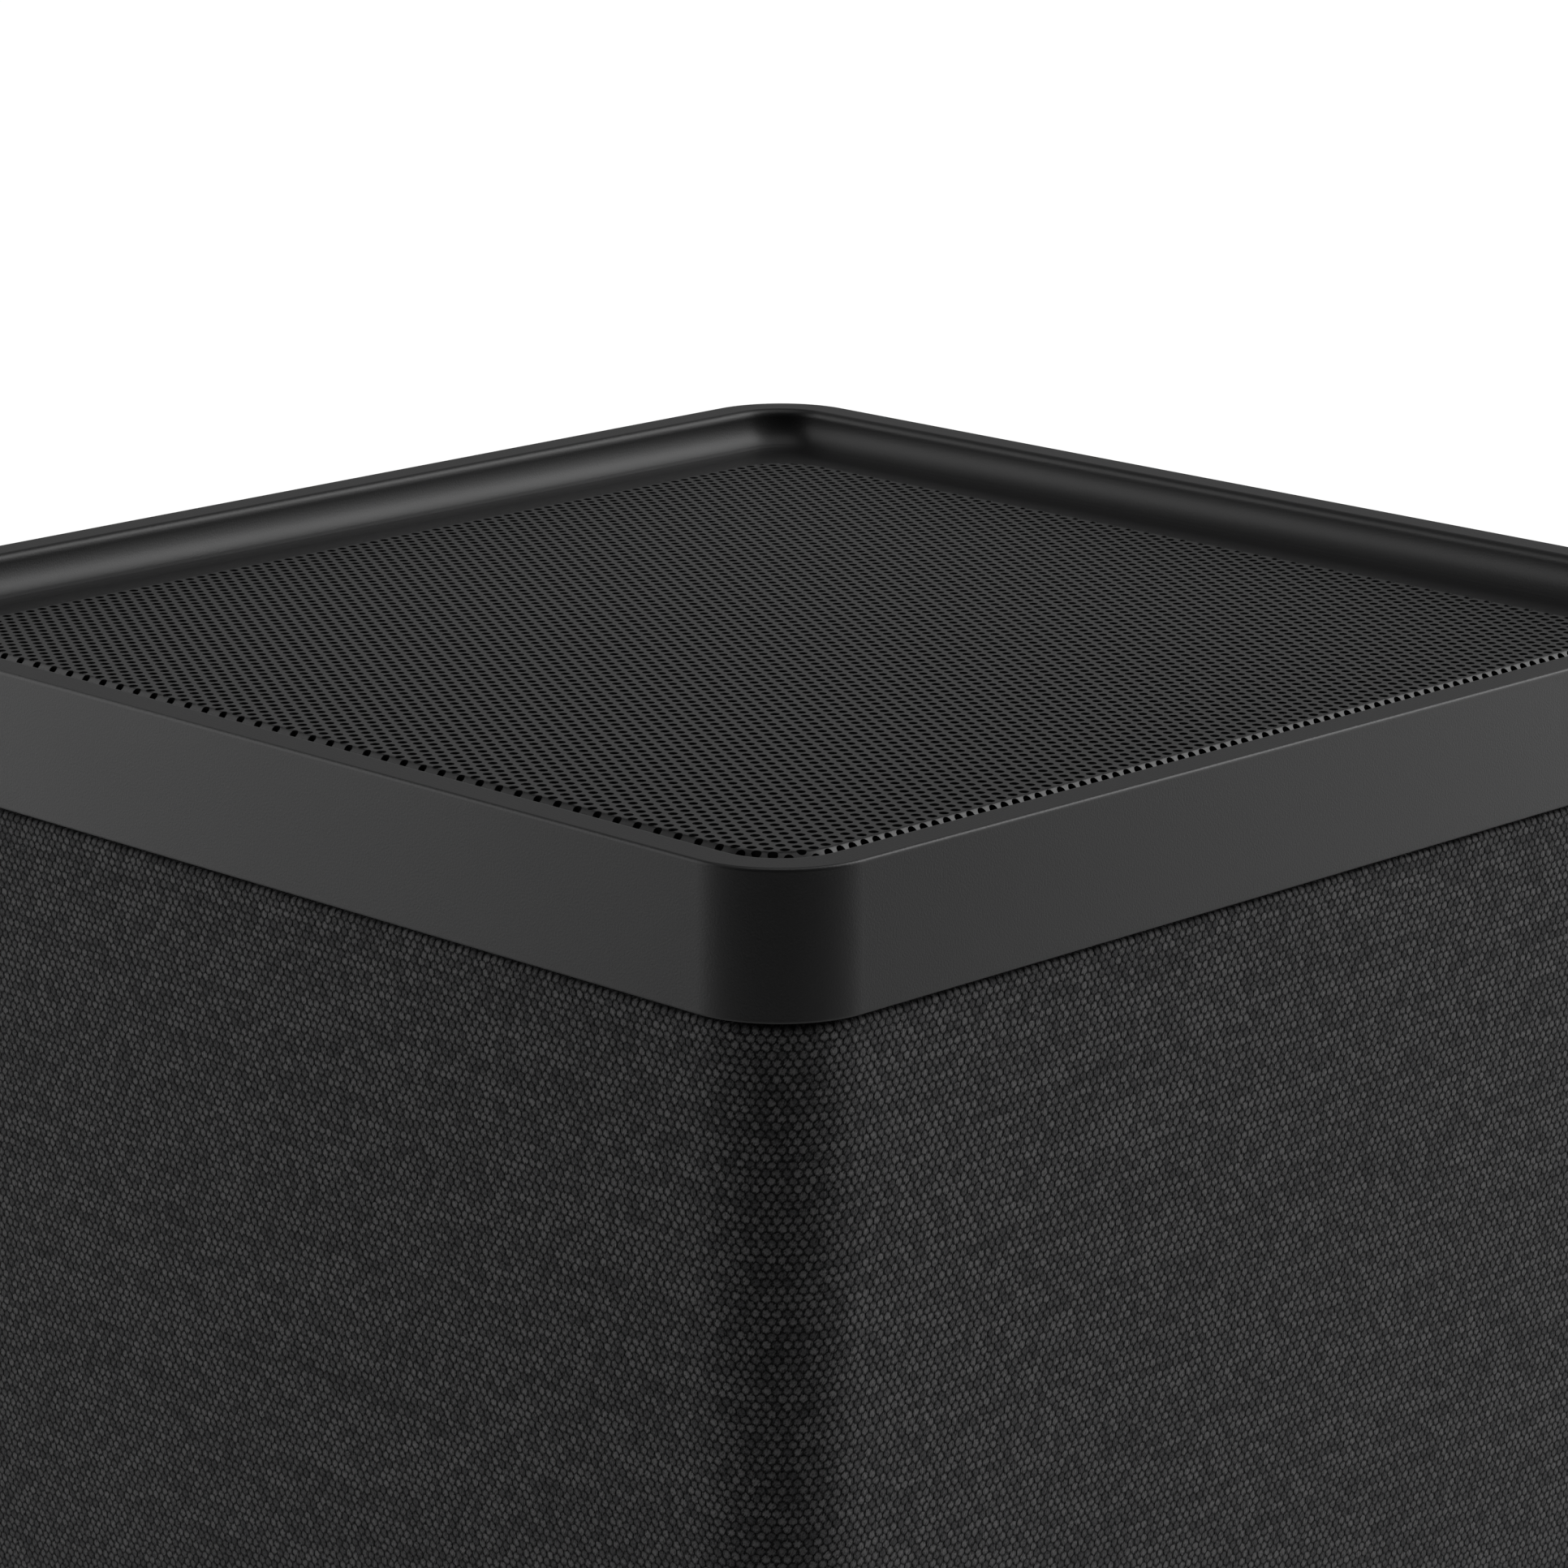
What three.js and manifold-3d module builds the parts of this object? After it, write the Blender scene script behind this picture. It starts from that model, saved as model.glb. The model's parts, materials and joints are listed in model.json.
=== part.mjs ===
// Mesh wifi node: a square tower with a perforated top grille and a cloth wrap.
// Millimetres, +Z up, front towards -Y, origin at the centre of the footprint on the table.
import * as THREE from 'three';
import { mergeVertices } from 'three/addons/utils/BufferGeometryUtils.js';
import Module from 'manifold-3d';

const wasm = await Module();
wasm.setup();

// ---- Driving sizes ----
const width = 150; // outer size along X
const depth = 150; // outer size along Y
const height = 200; // from the table to the top rim
const cornerRadius = 10; // vertical corners of the tower
const cornerSteps = 3; // each rounded corner is drawn with twice this many facets
const gap = 0.3; // clearance between neighbouring pieces

const bandHeight = 13.7; // moulded band at the top and at the base
const bandWall = 2.5;
const rimWidth = 4; // flat rim round the top
const rimChamfer = 0.3;
const coveRadius = 3.5; // hollow curve from the rim down to the ledge
const ledgeDepth = 4.5; // rim down to the ledge
const ledgeThickness = 1.5;

const grilleInset = 12; // outer face of the tower to the outer face of the grille's turned edge
const grilleDepth = 3.5; // rim down to the grille's flat field
const grilleRoll = 2; // outer radius of the turned edge
const grilleSheet = 0.8;
const grilleCorner = 8; // corner radius of the turned edge, in plan
const grilleFlange = 4; // width of the flange clamped under the ledge
const flangeDrop = 6.3; // rim down to the flange's upper face
const retainerThickness = 2;
const earHalf = 6; // half width of a retainer ear
const earRoom = 0.7; // between the end of an ear and the band's wall
const earScrewInset = 5.6;

const clothInset = 0.4; // cloth sits this far inside the bands' outer face
const cloth = 1; // cloth thickness
const coreWall = 2.4;
const spigotWall = 2.2;
const topSpigot = 2.2; // how far the core enters the top band
const screwSetback = 6.9; // from a corner's outer curve in to the screw there, along the diagonal
const bossRadius = 3.2;
const topLug = 4; // thickness of the lugs under the top frame
const baseBossTop = 20; // height of the bosses for the base screws

const footHeight = 1.5; // clearance under the base
const footRadius = 7;
const footPocket = 1.5;
const footInset = 22;
const basePlateThickness = 3;
const baseFlange = 2;
const baseFlangeWidth = 24;
const ventCount = 11;
const ventWidth = 3;
const ventPitch = 7;
const ventLength = 56;

const boardInset = 6.5;
const boardThickness = 1.6;
const boardBottom = 16.4; // height of the board's lower face
const boardCut = 9; // cut corners that clear the core's bosses
const postInset = 19; // posts that the board is screwed to
const postRadius = 3.5;

const spineWidth = 84;
const spineLap = 3; // how far the spine laps over the core each side
const spineFoot = 3; // rim of core left under and over the spine's thick part
const hookCount = 3;
const bayWidth = 73;
const bayDepth = 2.2;
const bayBottom = 18.8;
const bayTop = 34;

const jackWidth = 16.2;
const jackHeight = 13.2;
const jackLength = 21;
const jackWall = 1.6;
const plugWidth = 12.2;
const plugHeight = 8.4;
const plugDepth = 14;
const latchWidth = 6.4;
const latchHeight = 2.2;
const jackXs = [11, -8]; // wide area socket, then local socket

const powerX = 30;
const powerSize = 10.4;
const powerLength = 14;
const powerBore = 3.3;
const powerPin = 1;
const powerBoreDepth = 10;

const syncX = -25;
const syncRadius = 4.2;
const syncFlange = 0.9;
const syncProud = 1.4; // how far the cap stands out of the bay's floor
const syncTravel = 1;
const stemRadius = 1.8;
const plungerRadius = 1.4;

const resetX = -33.2;
const resetRadius = 0.9;
const resetTravel = 0.5;
const resetSunk = 0.6; // how far the pin's end lies below the bay's floor

const switchSize = 6.4;
const switchLength = 7;
const buttonHeight = 24.6; // height of the button and socket axes
const switchFace = 7.7; // from the tower's rear face to the front of the switches' bodies

const lightHalf = 8;
const lightBottom = 9.2;
const lightThickness = 1.6;
const lightReach = 14; // from the front face to the light guide's upright leg

const sinkWidth = 90;
const sinkDepth = 90;
const sinkShift = -8; // the heatsink sits forward of the sockets
const sinkBase = 4;
const sinkTop = 70;
const finCount = 12;
const finThickness = 1.6;
const sinkPostInset = 7;
const shieldHeight = 3;
const shieldSize = 40;
const padSize = 30;
const padThickness = 1;
const radioWidth = 17;
const radioLength = 64;

const ringHeight = 98; // height of the aerial carrier's ring
const ringThickness = 3;
const ringInset = 7;
const ringWidth = 12;
const legSize = 7;
const legY = 44;
const aerialWidth = 24;
const aerialHeight = 70;
const aerialThickness = 1;
const aerialY = 22;
const aerialBottom = 80;
const cableRadius = 0.7;

const labelWidth = 44;
const labelDepth = 26;
const labelThickness = 0.2;

// A screw is {shaft radius, head radius, head height}.
const bigScrew = { shaft: 1.1, head: 2.2, headHeight: 1.6 };
const smallScrew = { shaft: 0.8, head: 1.7, headHeight: 1.2 };

// ---- Derived sizes ----
const halfX = width / 2;
const halfY = depth / 2;
const topBandBottom = height - bandHeight;
const baseBandTop = footHeight + bandHeight;
const ledgeUnderside = height - ledgeDepth - ledgeThickness;
const coreInset = clothInset + cloth + gap;
const spigotInset = bandWall + gap;
const coreBottom = footHeight + basePlateThickness + gap + baseFlange + gap;
const coreTop = topBandBottom + topSpigot;
const wallBottom = baseBandTop + gap;
const wallTop = topBandBottom - gap;
const flangeTop = height - flangeDrop;
const earInset = bandWall + earRoom;
const retainerTop = flangeTop - grilleSheet - gap;
const boardTop = boardBottom + boardThickness;
const partBottom = boardTop + gap;
const spineInner = halfY - coreInset - coreWall; // inner face of the spine's thick part
const bayFloor = halfY - clothInset - bayDepth;
const socketFace = spineInner - gap;
const screwInset = cornerRadius - (cornerRadius - screwSetback) * Math.SQRT1_2;
const screwX = halfX - screwInset;
const screwY = halfY - screwInset;
const bigHole = bigScrew.shaft + gap;
const smallHole = smallScrew.shaft + gap;

// ---- Materials ----
const finish = (color, roughness, metalness = 0) => (
  new THREE.MeshStandardMaterial({ color, roughness, metalness })
);
const finishes = {
  satinBlack: finish(0x232324, 0.42),
  grilleBlack: finish(0x1e1e1f, 0.5),
  charcoalCloth: finish(0x3a3a3c, 0.95),
  coreBlack: finish(0x19191a, 0.7),
  rubber: finish(0x151515, 0.9),
  steel: finish(0x9a9da0, 0.35, 1),
  tin: finish(0xb5b7b9, 0.3, 1),
  aluminium: finish(0xa8abae, 0.4, 1),
  boardGreen: finish(0x1d4a33, 0.5),
  aerialGreen: finish(0x245a3c, 0.5),
  socketBlack: finish(0x1a1a1b, 0.55),
  buttonGrey: finish(0x4a4a4c, 0.5),
  clearGuide: finish(0xe4e8ea, 0.15),
  ledWhite: finish(0xf0ead8, 0.3),
  padGrey: finish(0x8a9096, 0.8),
  cableBlack: finish(0x101011, 0.5),
  labelGrey: finish(0xc8c8c6, 0.7),
};

// ---- Shape helpers ----
const toSolid = (geometry) => {
  const bare = geometry.clone();
  bare.deleteAttribute('normal');
  bare.deleteAttribute('uv');
  const merged = mergeVertices(bare, 1e-4);
  const vertProperties = new Float32Array(merged.attributes.position.array);
  const triVerts = new Uint32Array(merged.index.array);
  return new wasm.Manifold(new wasm.Mesh({ numProp: 3, vertProperties, triVerts }));
};

const toGeometry = (solid) => {
  const mesh = solid.getMesh();
  const geometry = new THREE.BufferGeometry();
  geometry.setAttribute('position', new THREE.BufferAttribute(new Float32Array(mesh.vertProperties), 3));
  geometry.setIndex(new THREE.BufferAttribute(new Uint32Array(mesh.triVerts), 1));
  geometry.computeVertexNormals();
  return geometry;
};

const join = (first, ...rest) => rest.reduce((solid, next) => solid.add(next), first);
const cut = (first, ...rest) => rest.reduce((solid, next) => solid.subtract(next), first);

const box = (x0, x1, y0, y1, z0, z1) => {
  const geometry = new THREE.BoxGeometry(x1 - x0, y1 - y0, z1 - z0);
  geometry.translate((x0 + x1) / 2, (y0 + y1) / 2, (z0 + z1) / 2);
  return toSolid(geometry);
};

const post = (radius, x, y, z0, z1, sides = 16) => {
  const geometry = new THREE.CylinderGeometry(radius, radius, z1 - z0, sides);
  geometry.rotateX(Math.PI / 2);
  geometry.translate(x, y, (z0 + z1) / 2);
  return toSolid(geometry);
};

// A round bar along Y, between two Y values.
const bar = (radius, x, z, y0, y1, sides = 20) => {
  const geometry = new THREE.CylinderGeometry(radius, radius, y1 - y0, sides);
  geometry.translate(x, (y0 + y1) / 2, z);
  return toSolid(geometry);
};

// The tower's outline, drawn in by an inset, with its own corner radius.
const outline = (inset, radius) => {
  const x = halfX - inset;
  const y = halfY - inset;
  const shape = new THREE.Shape();
  shape.moveTo(x, y - radius);
  shape.absarc(x - radius, y - radius, radius, 0, Math.PI / 2);
  shape.absarc(-x + radius, y - radius, radius, Math.PI / 2, Math.PI);
  shape.absarc(-x + radius, -y + radius, radius, Math.PI, 1.5 * Math.PI);
  shape.absarc(x - radius, -y + radius, radius, 1.5 * Math.PI, 2 * Math.PI);
  return shape;
};

const slab = (inset, radius, z0, z1) => {
  const geometry = new THREE.ExtrudeGeometry(outline(inset, radius), {
    depth: z1 - z0,
    bevelEnabled: false,
    curveSegments: cornerSteps,
  });
  geometry.translate(0, 0, z0);
  return toSolid(geometry);
};

// A slab whose two end edges are rounded by the given roll. Its widest outline is at the inset.
const rolledSlab = (inset, radius, z0, z1, roll, steps) => {
  const geometry = new THREE.ExtrudeGeometry(outline(inset + roll, radius - roll), {
    depth: z1 - z0 - 2 * roll,
    bevelEnabled: true,
    bevelThickness: roll,
    bevelSize: roll,
    bevelSegments: steps,
    curveSegments: cornerSteps,
  });
  geometry.translate(0, 0, z0 + roll);
  return toSolid(geometry);
};

const ring = (inset, radius, wall, z0, z1) => cut(
  slab(inset, radius, z0, z1),
  slab(inset + wall, Math.max(radius - wall, 1), z0 - 1, z1 + 1),
);

const corners = [[1, 1], [-1, 1], [-1, -1], [1, -1]];
const sides = [[1, 0], [0, 1], [-1, 0], [0, -1]];

const node = new THREE.Group();
const addPart = (name, solid, material) => {
  const geometry = solid.isBufferGeometry ? solid : toGeometry(solid);
  const mesh = new THREE.Mesh(geometry, material);
  mesh.name = name;
  node.add(mesh);
};

// A screw standing on Z: its head starts at headZ, its shaft points up or down to tipZ.
const screw = ({ shaft, head, headHeight }, x, y, headZ, tipZ) => {
  const up = tipZ > headZ;
  const headEnd = up ? headZ + headHeight : headZ - headHeight;
  const headSolid = post(head, x, y, Math.min(headZ, headEnd), Math.max(headZ, headEnd), 12);
  const shaftSolid = post(shaft, x, y, Math.min(headZ, tipZ), Math.max(headZ, tipZ), 10);
  return join(headSolid, shaftSolid);
};

// ---- Top frame, grille and retainer ----
const earScrewPlace = (sx, sy) => ({ x: sx * (halfX - earScrewInset), y: sy * (halfY - earScrewInset) });

const topFrame = () => {
  const outer = join(
    slab(0, cornerRadius, topBandBottom, height - 1),
    rolledSlab(0, cornerRadius, topBandBottom, height, rimChamfer, 1),
  );
  const inside = slab(bandWall, cornerRadius - bandWall, topBandBottom - 1, ledgeUnderside);
  const coveTop = height + 2 * coveRadius;
  const coveCorner = cornerRadius - rimWidth;
  const cove = rolledSlab(rimWidth, coveCorner, height - ledgeDepth, coveTop, coveRadius, 5);
  const opening = slab(grilleInset - gap, grilleCorner + gap, ledgeUnderside - 1, height + 1);
  let frame = cut(outer, inside, cove, opening);
  for (const [sx, sy] of corners) {
    frame = join(frame, post(bossRadius, sx * screwX, sy * screwY, topBandBottom, ledgeUnderside + 0.5));
  }
  const earBossInner = rimWidth + coveRadius;
  for (const [sx, sy] of sides) {
    const bossX = halfX - (bandWall + earBossInner) / 2;
    const bossY = halfY - (bandWall + earBossInner) / 2;
    const reach = (earBossInner - bandWall) / 2 + 0.2;
    const alongX = sx ? reach : earHalf;
    const alongY = sy ? reach : earHalf;
    frame = join(frame, box(
      sx * bossX - alongX, sx * bossX + alongX,
      sy * bossY - alongY, sy * bossY + alongY,
      retainerTop + gap, ledgeUnderside + 0.3,
    ));
  }
  for (const [sx, sy] of corners) {
    frame = cut(frame, post(bigHole, sx * screwX, sy * screwY, topBandBottom - 1, ledgeUnderside - 1));
  }
  for (const [sx, sy] of sides) {
    const hole = earScrewPlace(sx, sy);
    frame = cut(frame, post(smallHole, hole.x, hole.y, retainerTop, ledgeUnderside + 1.3, 12));
  }
  return frame;
};

const topGrille = () => {
  const top = height - grilleDepth;
  const flangeBottom = flangeTop - grilleSheet;
  const skirt = 8;
  const outer = rolledSlab(grilleInset, grilleCorner, top - skirt, top, grilleRoll, 3);
  const inner = rolledSlab(
    grilleInset + grilleSheet, grilleCorner - grilleSheet,
    top - skirt - grilleSheet, top - grilleSheet, grilleRoll - grilleSheet, 2,
  );
  const flangeInset = grilleInset - grilleFlange;
  const flange = slab(flangeInset, cornerRadius, flangeBottom, flangeTop);
  const below = box(-halfX, halfX, -halfY, halfY, top - 2 * skirt, flangeBottom);
  return cut(join(outer, flange), inner, below);
};

const grilleRetainer = () => {
  const bottom = retainerTop - retainerThickness;
  const inset = grilleInset - grilleFlange;
  const hollow = grilleInset + grilleSheet;
  let retainer = slab(inset, cornerRadius, bottom, retainerTop);
  for (const [sx, sy] of sides) {
    const reachX = sx ? halfX - earInset : earHalf;
    const reachY = sy ? halfY - earInset : earHalf;
    const startX = sx ? halfX - inset - 1 : -earHalf;
    const startY = sy ? halfY - inset - 1 : -earHalf;
    const xs = sx ? [sx * startX, sx * reachX] : [startX, reachX];
    const ys = sy ? [sy * startY, sy * reachY] : [startY, reachY];
    xs.sort((a, b) => a - b);
    ys.sort((a, b) => a - b);
    retainer = join(retainer, box(xs[0], xs[1], ys[0], ys[1], bottom, retainerTop));
  }
  retainer = cut(retainer, slab(hollow, grilleCorner, bottom - 1, retainerTop + 1));
  for (const [sx, sy] of sides) {
    const hole = earScrewPlace(sx, sy);
    retainer = cut(retainer, post(smallHole, hole.x, hole.y, bottom - 1, retainerTop + 1, 12));
  }
  return retainer;
};

addPart('top_frame', topFrame(), finishes.satinBlack);
addPart('top_grille', topGrille(), finishes.grilleBlack);
addPart('grille_retainer', grilleRetainer(), finishes.coreBlack);
sides.forEach(([sx, sy], index) => {
  const place = earScrewPlace(sx, sy);
  const headZ = retainerTop - retainerThickness - gap;
  const solid = join(
    post(smallScrew.head, place.x, place.y, headZ - smallScrew.headHeight, headZ, 12),
    post(smallScrew.shaft, place.x, place.y, headZ - 0.5, ledgeUnderside + 1, 10),
  );
  addPart(`retainer_screw_${index + 1}`, solid, finishes.steel);
});

// ---- Core, cloth and rear spine ----
const thickHalf = spineWidth / 2 - spineLap; // half width of the spine's thick part
const thickBottom = wallBottom + spineFoot;
const thickTop = wallTop - spineFoot;

const coreShell = () => {
  let core = join(
    ring(coreInset, cornerRadius - coreInset, coreWall, wallBottom, wallTop),
    ring(spigotInset, cornerRadius - spigotInset, spigotWall, coreBottom, wallBottom + 2),
    ring(spigotInset, cornerRadius - spigotInset, spigotWall, wallTop - 2, coreTop),
  );
  for (const [sx, sy] of corners) {
    core = join(
      core,
      post(bossRadius, sx * screwX, sy * screwY, coreBottom, baseBossTop),
      post(bossRadius + 1.3, sx * screwX, sy * screwY, wallTop - topLug, wallTop),
    );
  }
  const rearWindow = box(
    -thickHalf - gap, thickHalf + gap,
    halfY - 4 * coreWall, halfY, thickBottom - gap, thickTop + gap,
  );
  const lightSlot = box(
    -lightHalf - gap, lightHalf + gap,
    -halfY, -halfY + 3 * coreWall, lightBottom - gap, lightBottom + lightThickness + gap,
  );
  core = cut(core, rearWindow, lightSlot);
  for (const [sx, sy] of corners) {
    core = cut(
      core,
      post(bigHole, sx * screwX, sy * screwY, coreBottom - 1, baseBossTop - 2),
      post(bigHole, sx * screwX, sy * screwY, wallTop - topLug - 1, wallTop + 1),
      post(bossRadius + gap, sx * screwX, sy * screwY, wallTop, coreTop + 1),
    );
  }
  return core;
};

const fabricWrap = () => cut(
  ring(clothInset, cornerRadius - clothInset, cloth, wallBottom, wallTop),
  box(-spineWidth / 2 - gap, spineWidth / 2 + gap, 0, halfY + 1, wallBottom - 1, wallTop + 1),
);

const socketMargin = 0.5; // the spine's openings are this much larger than the sockets' mouths
const socketFloor = partBottom + jackWall;
const socketOpening = (x) => box(
  x - plugWidth / 2 - socketMargin, x + plugWidth / 2 + socketMargin,
  spineInner - 1, halfY,
  socketFloor - socketMargin, socketFloor + plugHeight + latchHeight + socketMargin,
);

const rearSpine = () => {
  const face = halfY - clothInset;
  let spine = join(
    box(-spineWidth / 2, spineWidth / 2, face - cloth, face, wallBottom, wallTop),
    box(-thickHalf, thickHalf, spineInner, face, thickBottom, thickTop),
  );
  const hookStep = (thickTop - thickBottom) / (hookCount + 1);
  for (let index = 1; index <= hookCount; index += 1) {
    const z = thickBottom + index * hookStep;
    for (const side of [-1, 1]) {
      const arm = [side * (thickHalf - 2), side * thickHalf].sort((a, b) => a - b);
      const barb = [side * (thickHalf - 1), side * (thickHalf + 1.5)].sort((a, b) => a - b);
      spine = join(
        spine,
        box(arm[0], arm[1], spineInner - 2.4, spineInner + 0.5, z - 4, z + 4),
        box(barb[0], barb[1], spineInner - 2.4, spineInner - gap, z - 4, z + 4),
      );
    }
  }
  spine = cut(spine, box(-bayWidth / 2, bayWidth / 2, bayFloor, halfY, bayBottom, bayTop));
  for (const x of jackXs) {
    spine = cut(spine, socketOpening(x));
  }
  return cut(
    spine,
    bar(powerBore + 1, powerX, buttonHeight, spineInner - 1, halfY, 28),
    bar(syncRadius + gap, syncX, buttonHeight, spineInner - 1, halfY, 28),
    bar(resetRadius + gap + 0.1, resetX, buttonHeight, spineInner - 1, halfY, 14),
  );
};

addPart('core_shell', coreShell(), finishes.coreBlack);
addPart('fabric_wrap', fabricWrap(), finishes.charcoalCloth);
addPart('rear_spine', rearSpine(), finishes.satinBlack);
corners.forEach(([sx, sy], index) => {
  const headZ = wallTop - topLug - gap;
  const solid = join(
    post(bigScrew.head, sx * screwX, sy * screwY, headZ - bigScrew.headHeight, headZ, 12),
    post(bigScrew.shaft, sx * screwX, sy * screwY, headZ - 0.5, ledgeUnderside - 1.5, 10),
  );
  addPart(`frame_screw_${index + 1}`, solid, finishes.steel);
});

// ---- Base ----
const baseFrame = () => {
  const flangeBottom = footHeight + basePlateThickness + gap;
  const flangeZ = flangeBottom + baseFlange;
  let frame = join(
    ring(0, cornerRadius, bandWall, footHeight, baseBandTop),
    ring(bandWall - 0.5, cornerRadius - bandWall, baseFlangeWidth - bandWall, flangeBottom, flangeZ),
  );
  for (const [sx, sy] of corners) {
    const x = sx * (halfX - postInset);
    const y = sy * (halfY - postInset);
    frame = join(frame, post(postRadius, x, y, flangeBottom, boardBottom - gap));
    frame = cut(
      frame,
      post(bigHole, x, y, flangeZ + 1, boardBottom),
      post(bigHole, sx * screwX, sy * screwY, flangeBottom - 1, flangeZ + 1),
    );
  }
  return cut(frame, box(
    -lightHalf - gap, lightHalf + gap,
    -halfY - 1, -halfY + bandWall + 1, lightBottom - gap, lightBottom + lightThickness + gap,
  ));
};

const footX = halfX - footInset;
const footY = halfY - footInset;
const basePlate = () => {
  const top = footHeight + basePlateThickness;
  let plate = slab(spigotInset, cornerRadius - spigotInset, footHeight, top);
  for (const [sx, sy] of corners) {
    plate = cut(
      plate,
      post(footRadius + gap, sx * footX, sy * footY, 0, footHeight + footPocket, 28),
      post(bigHole, sx * screwX, sy * screwY, 0, top + 1),
      post(bigScrew.head + gap, sx * screwX, sy * screwY, 0, footHeight + bigScrew.headHeight + gap),
    );
  }
  for (let index = 0; index < ventCount; index += 1) {
    const y = (index - (ventCount - 1) / 2) * ventPitch;
    if (Math.abs(y) > labelDepth / 2 + ventWidth) {
      const half = ventWidth / 2;
      plate = cut(plate, box(-ventLength / 2, ventLength / 2, y - half, y + half, 0, top + 1));
    }
  }
  return plate;
};

addPart('base_frame', baseFrame(), finishes.satinBlack);
addPart('base_plate', basePlate(), finishes.coreBlack);
corners.forEach(([sx, sy], index) => {
  const pad = post(footRadius, sx * footX, sy * footY, 0, footHeight + footPocket - gap, 28);
  addPart(`foot_${index + 1}`, pad, finishes.rubber);
});
corners.forEach(([sx, sy], index) => {
  const solid = join(
    post(bigScrew.head, sx * screwX, sy * screwY, footHeight, footHeight + bigScrew.headHeight, 12),
    post(bigScrew.shaft, sx * screwX, sy * screwY, footHeight + 0.5, baseBossTop - 2.5, 10),
  );
  addPart(`base_screw_${index + 1}`, solid, finishes.steel);
});
addPart('rating_label', box(
  -labelWidth / 2, labelWidth / 2, -labelDepth / 2, labelDepth / 2,
  footHeight - gap - labelThickness, footHeight - gap,
), finishes.labelGrey);

// ---- Main board and cooling ----
const sinkPosts = [[1, 1], [-1, -1]];
const sinkPostX = sinkWidth / 2 - sinkPostInset;
const sinkPostY = sinkDepth / 2 - sinkPostInset;
const legX = halfX - boardInset - legSize / 2 - 1;
const legScrews = [[1, -1], [-1, 1]];

const mainBoard = () => {
  const x = halfX - boardInset;
  const y = halfY - boardInset;
  const shape = new THREE.Shape();
  shape.moveTo(x - boardCut, -y);
  shape.lineTo(x, -y + boardCut);
  shape.lineTo(x, y - boardCut);
  shape.lineTo(x - boardCut, y);
  shape.lineTo(-x + boardCut, y);
  shape.lineTo(-x, y - boardCut);
  shape.lineTo(-x, -y + boardCut);
  shape.lineTo(-x + boardCut, -y);
  const geometry = new THREE.ExtrudeGeometry(shape, { depth: boardThickness, bevelEnabled: false });
  geometry.translate(0, 0, boardBottom);
  let board = toSolid(geometry);
  for (const [sx, sy] of corners) {
    const postX = sx * (halfX - postInset);
    const postY = sy * (halfY - postInset);
    board = cut(board, post(bigHole, postX, postY, boardBottom - 1, boardTop + 1));
  }
  for (const [sx, sy] of sinkPosts) {
    const x = sx * sinkPostX;
    const y = sinkShift + sy * sinkPostY;
    board = cut(board, post(smallHole, x, y, boardBottom - 1, boardTop + 1, 12));
  }
  for (const [sx, sy] of legScrews) {
    board = cut(board, post(smallHole, sx * legX, sy * legY, boardBottom - 1, boardTop + 1, 12));
  }
  return board;
};

const shieldTop = partBottom + shieldHeight;
const padTop = shieldTop + gap + padThickness;
const sinkBottom = padTop + gap;

const heatsink = () => {
  const left = -sinkWidth / 2;
  const pitch = (sinkWidth - finThickness) / (finCount - 1);
  const floor = sinkBottom + sinkBase;
  const shape = new THREE.Shape();
  shape.moveTo(left, sinkBottom);
  shape.lineTo(left + sinkWidth, sinkBottom);
  for (let index = finCount - 1; index >= 0; index -= 1) {
    const x = left + index * pitch;
    if (index < finCount - 1) {
      shape.lineTo(x + finThickness, floor);
    }
    shape.lineTo(x + finThickness, sinkTop);
    shape.lineTo(x, sinkTop);
    if (index > 0) {
      shape.lineTo(x, floor);
    }
  }
  const geometry = new THREE.ExtrudeGeometry(shape, { depth: sinkDepth, bevelEnabled: false });
  geometry.rotateX(Math.PI / 2);
  geometry.translate(0, sinkShift + sinkDepth / 2, 0);
  let sink = toSolid(geometry);
  for (const [sx, sy] of corners) {
    sink = join(sink, post(3, sx * sinkPostX, sinkShift + sy * sinkPostY, partBottom, sinkBottom + 1));
  }
  for (const [sx, sy] of sinkPosts) {
    const x = sx * sinkPostX;
    const y = sinkShift + sy * sinkPostY;
    sink = cut(sink, post(smallHole, x, y, partBottom - 1, floor - 1.5, 12));
  }
  return sink;
};

addPart('main_board', mainBoard(), finishes.boardGreen);
corners.forEach(([sx, sy], index) => {
  const x = sx * (halfX - postInset);
  const y = sy * (halfY - postInset);
  const solid = join(
    post(bigScrew.head, x, y, partBottom, partBottom + bigScrew.headHeight, 12),
    post(bigScrew.shaft, x, y, coreBottom + 1.5, partBottom + 0.5, 10),
  );
  addPart(`board_screw_${index + 1}`, solid, finishes.steel);
});

const blockOn = (x, y, sizeX, sizeY, z0, z1) => box(
  x - sizeX / 2, x + sizeX / 2, y - sizeY / 2, y + sizeY / 2, z0, z1,
);
const radioX = halfX - boardInset - 3.5 - radioWidth / 2;

const processorShield = blockOn(0, sinkShift, shieldSize, shieldSize, partBottom, shieldTop);
addPart('processor_shield', processorShield, finishes.tin);
addPart('thermal_pad', blockOn(0, sinkShift, padSize, padSize, shieldTop + gap, padTop), finishes.padGrey);
addPart('heatsink', heatsink(), finishes.aluminium);
const radioShield = (x) => blockOn(x, 0, radioWidth, radioLength, partBottom, shieldTop);
addPart('radio_shield_left', radioShield(-radioX), finishes.tin);
addPart('radio_shield_right', radioShield(radioX), finishes.tin);

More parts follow.
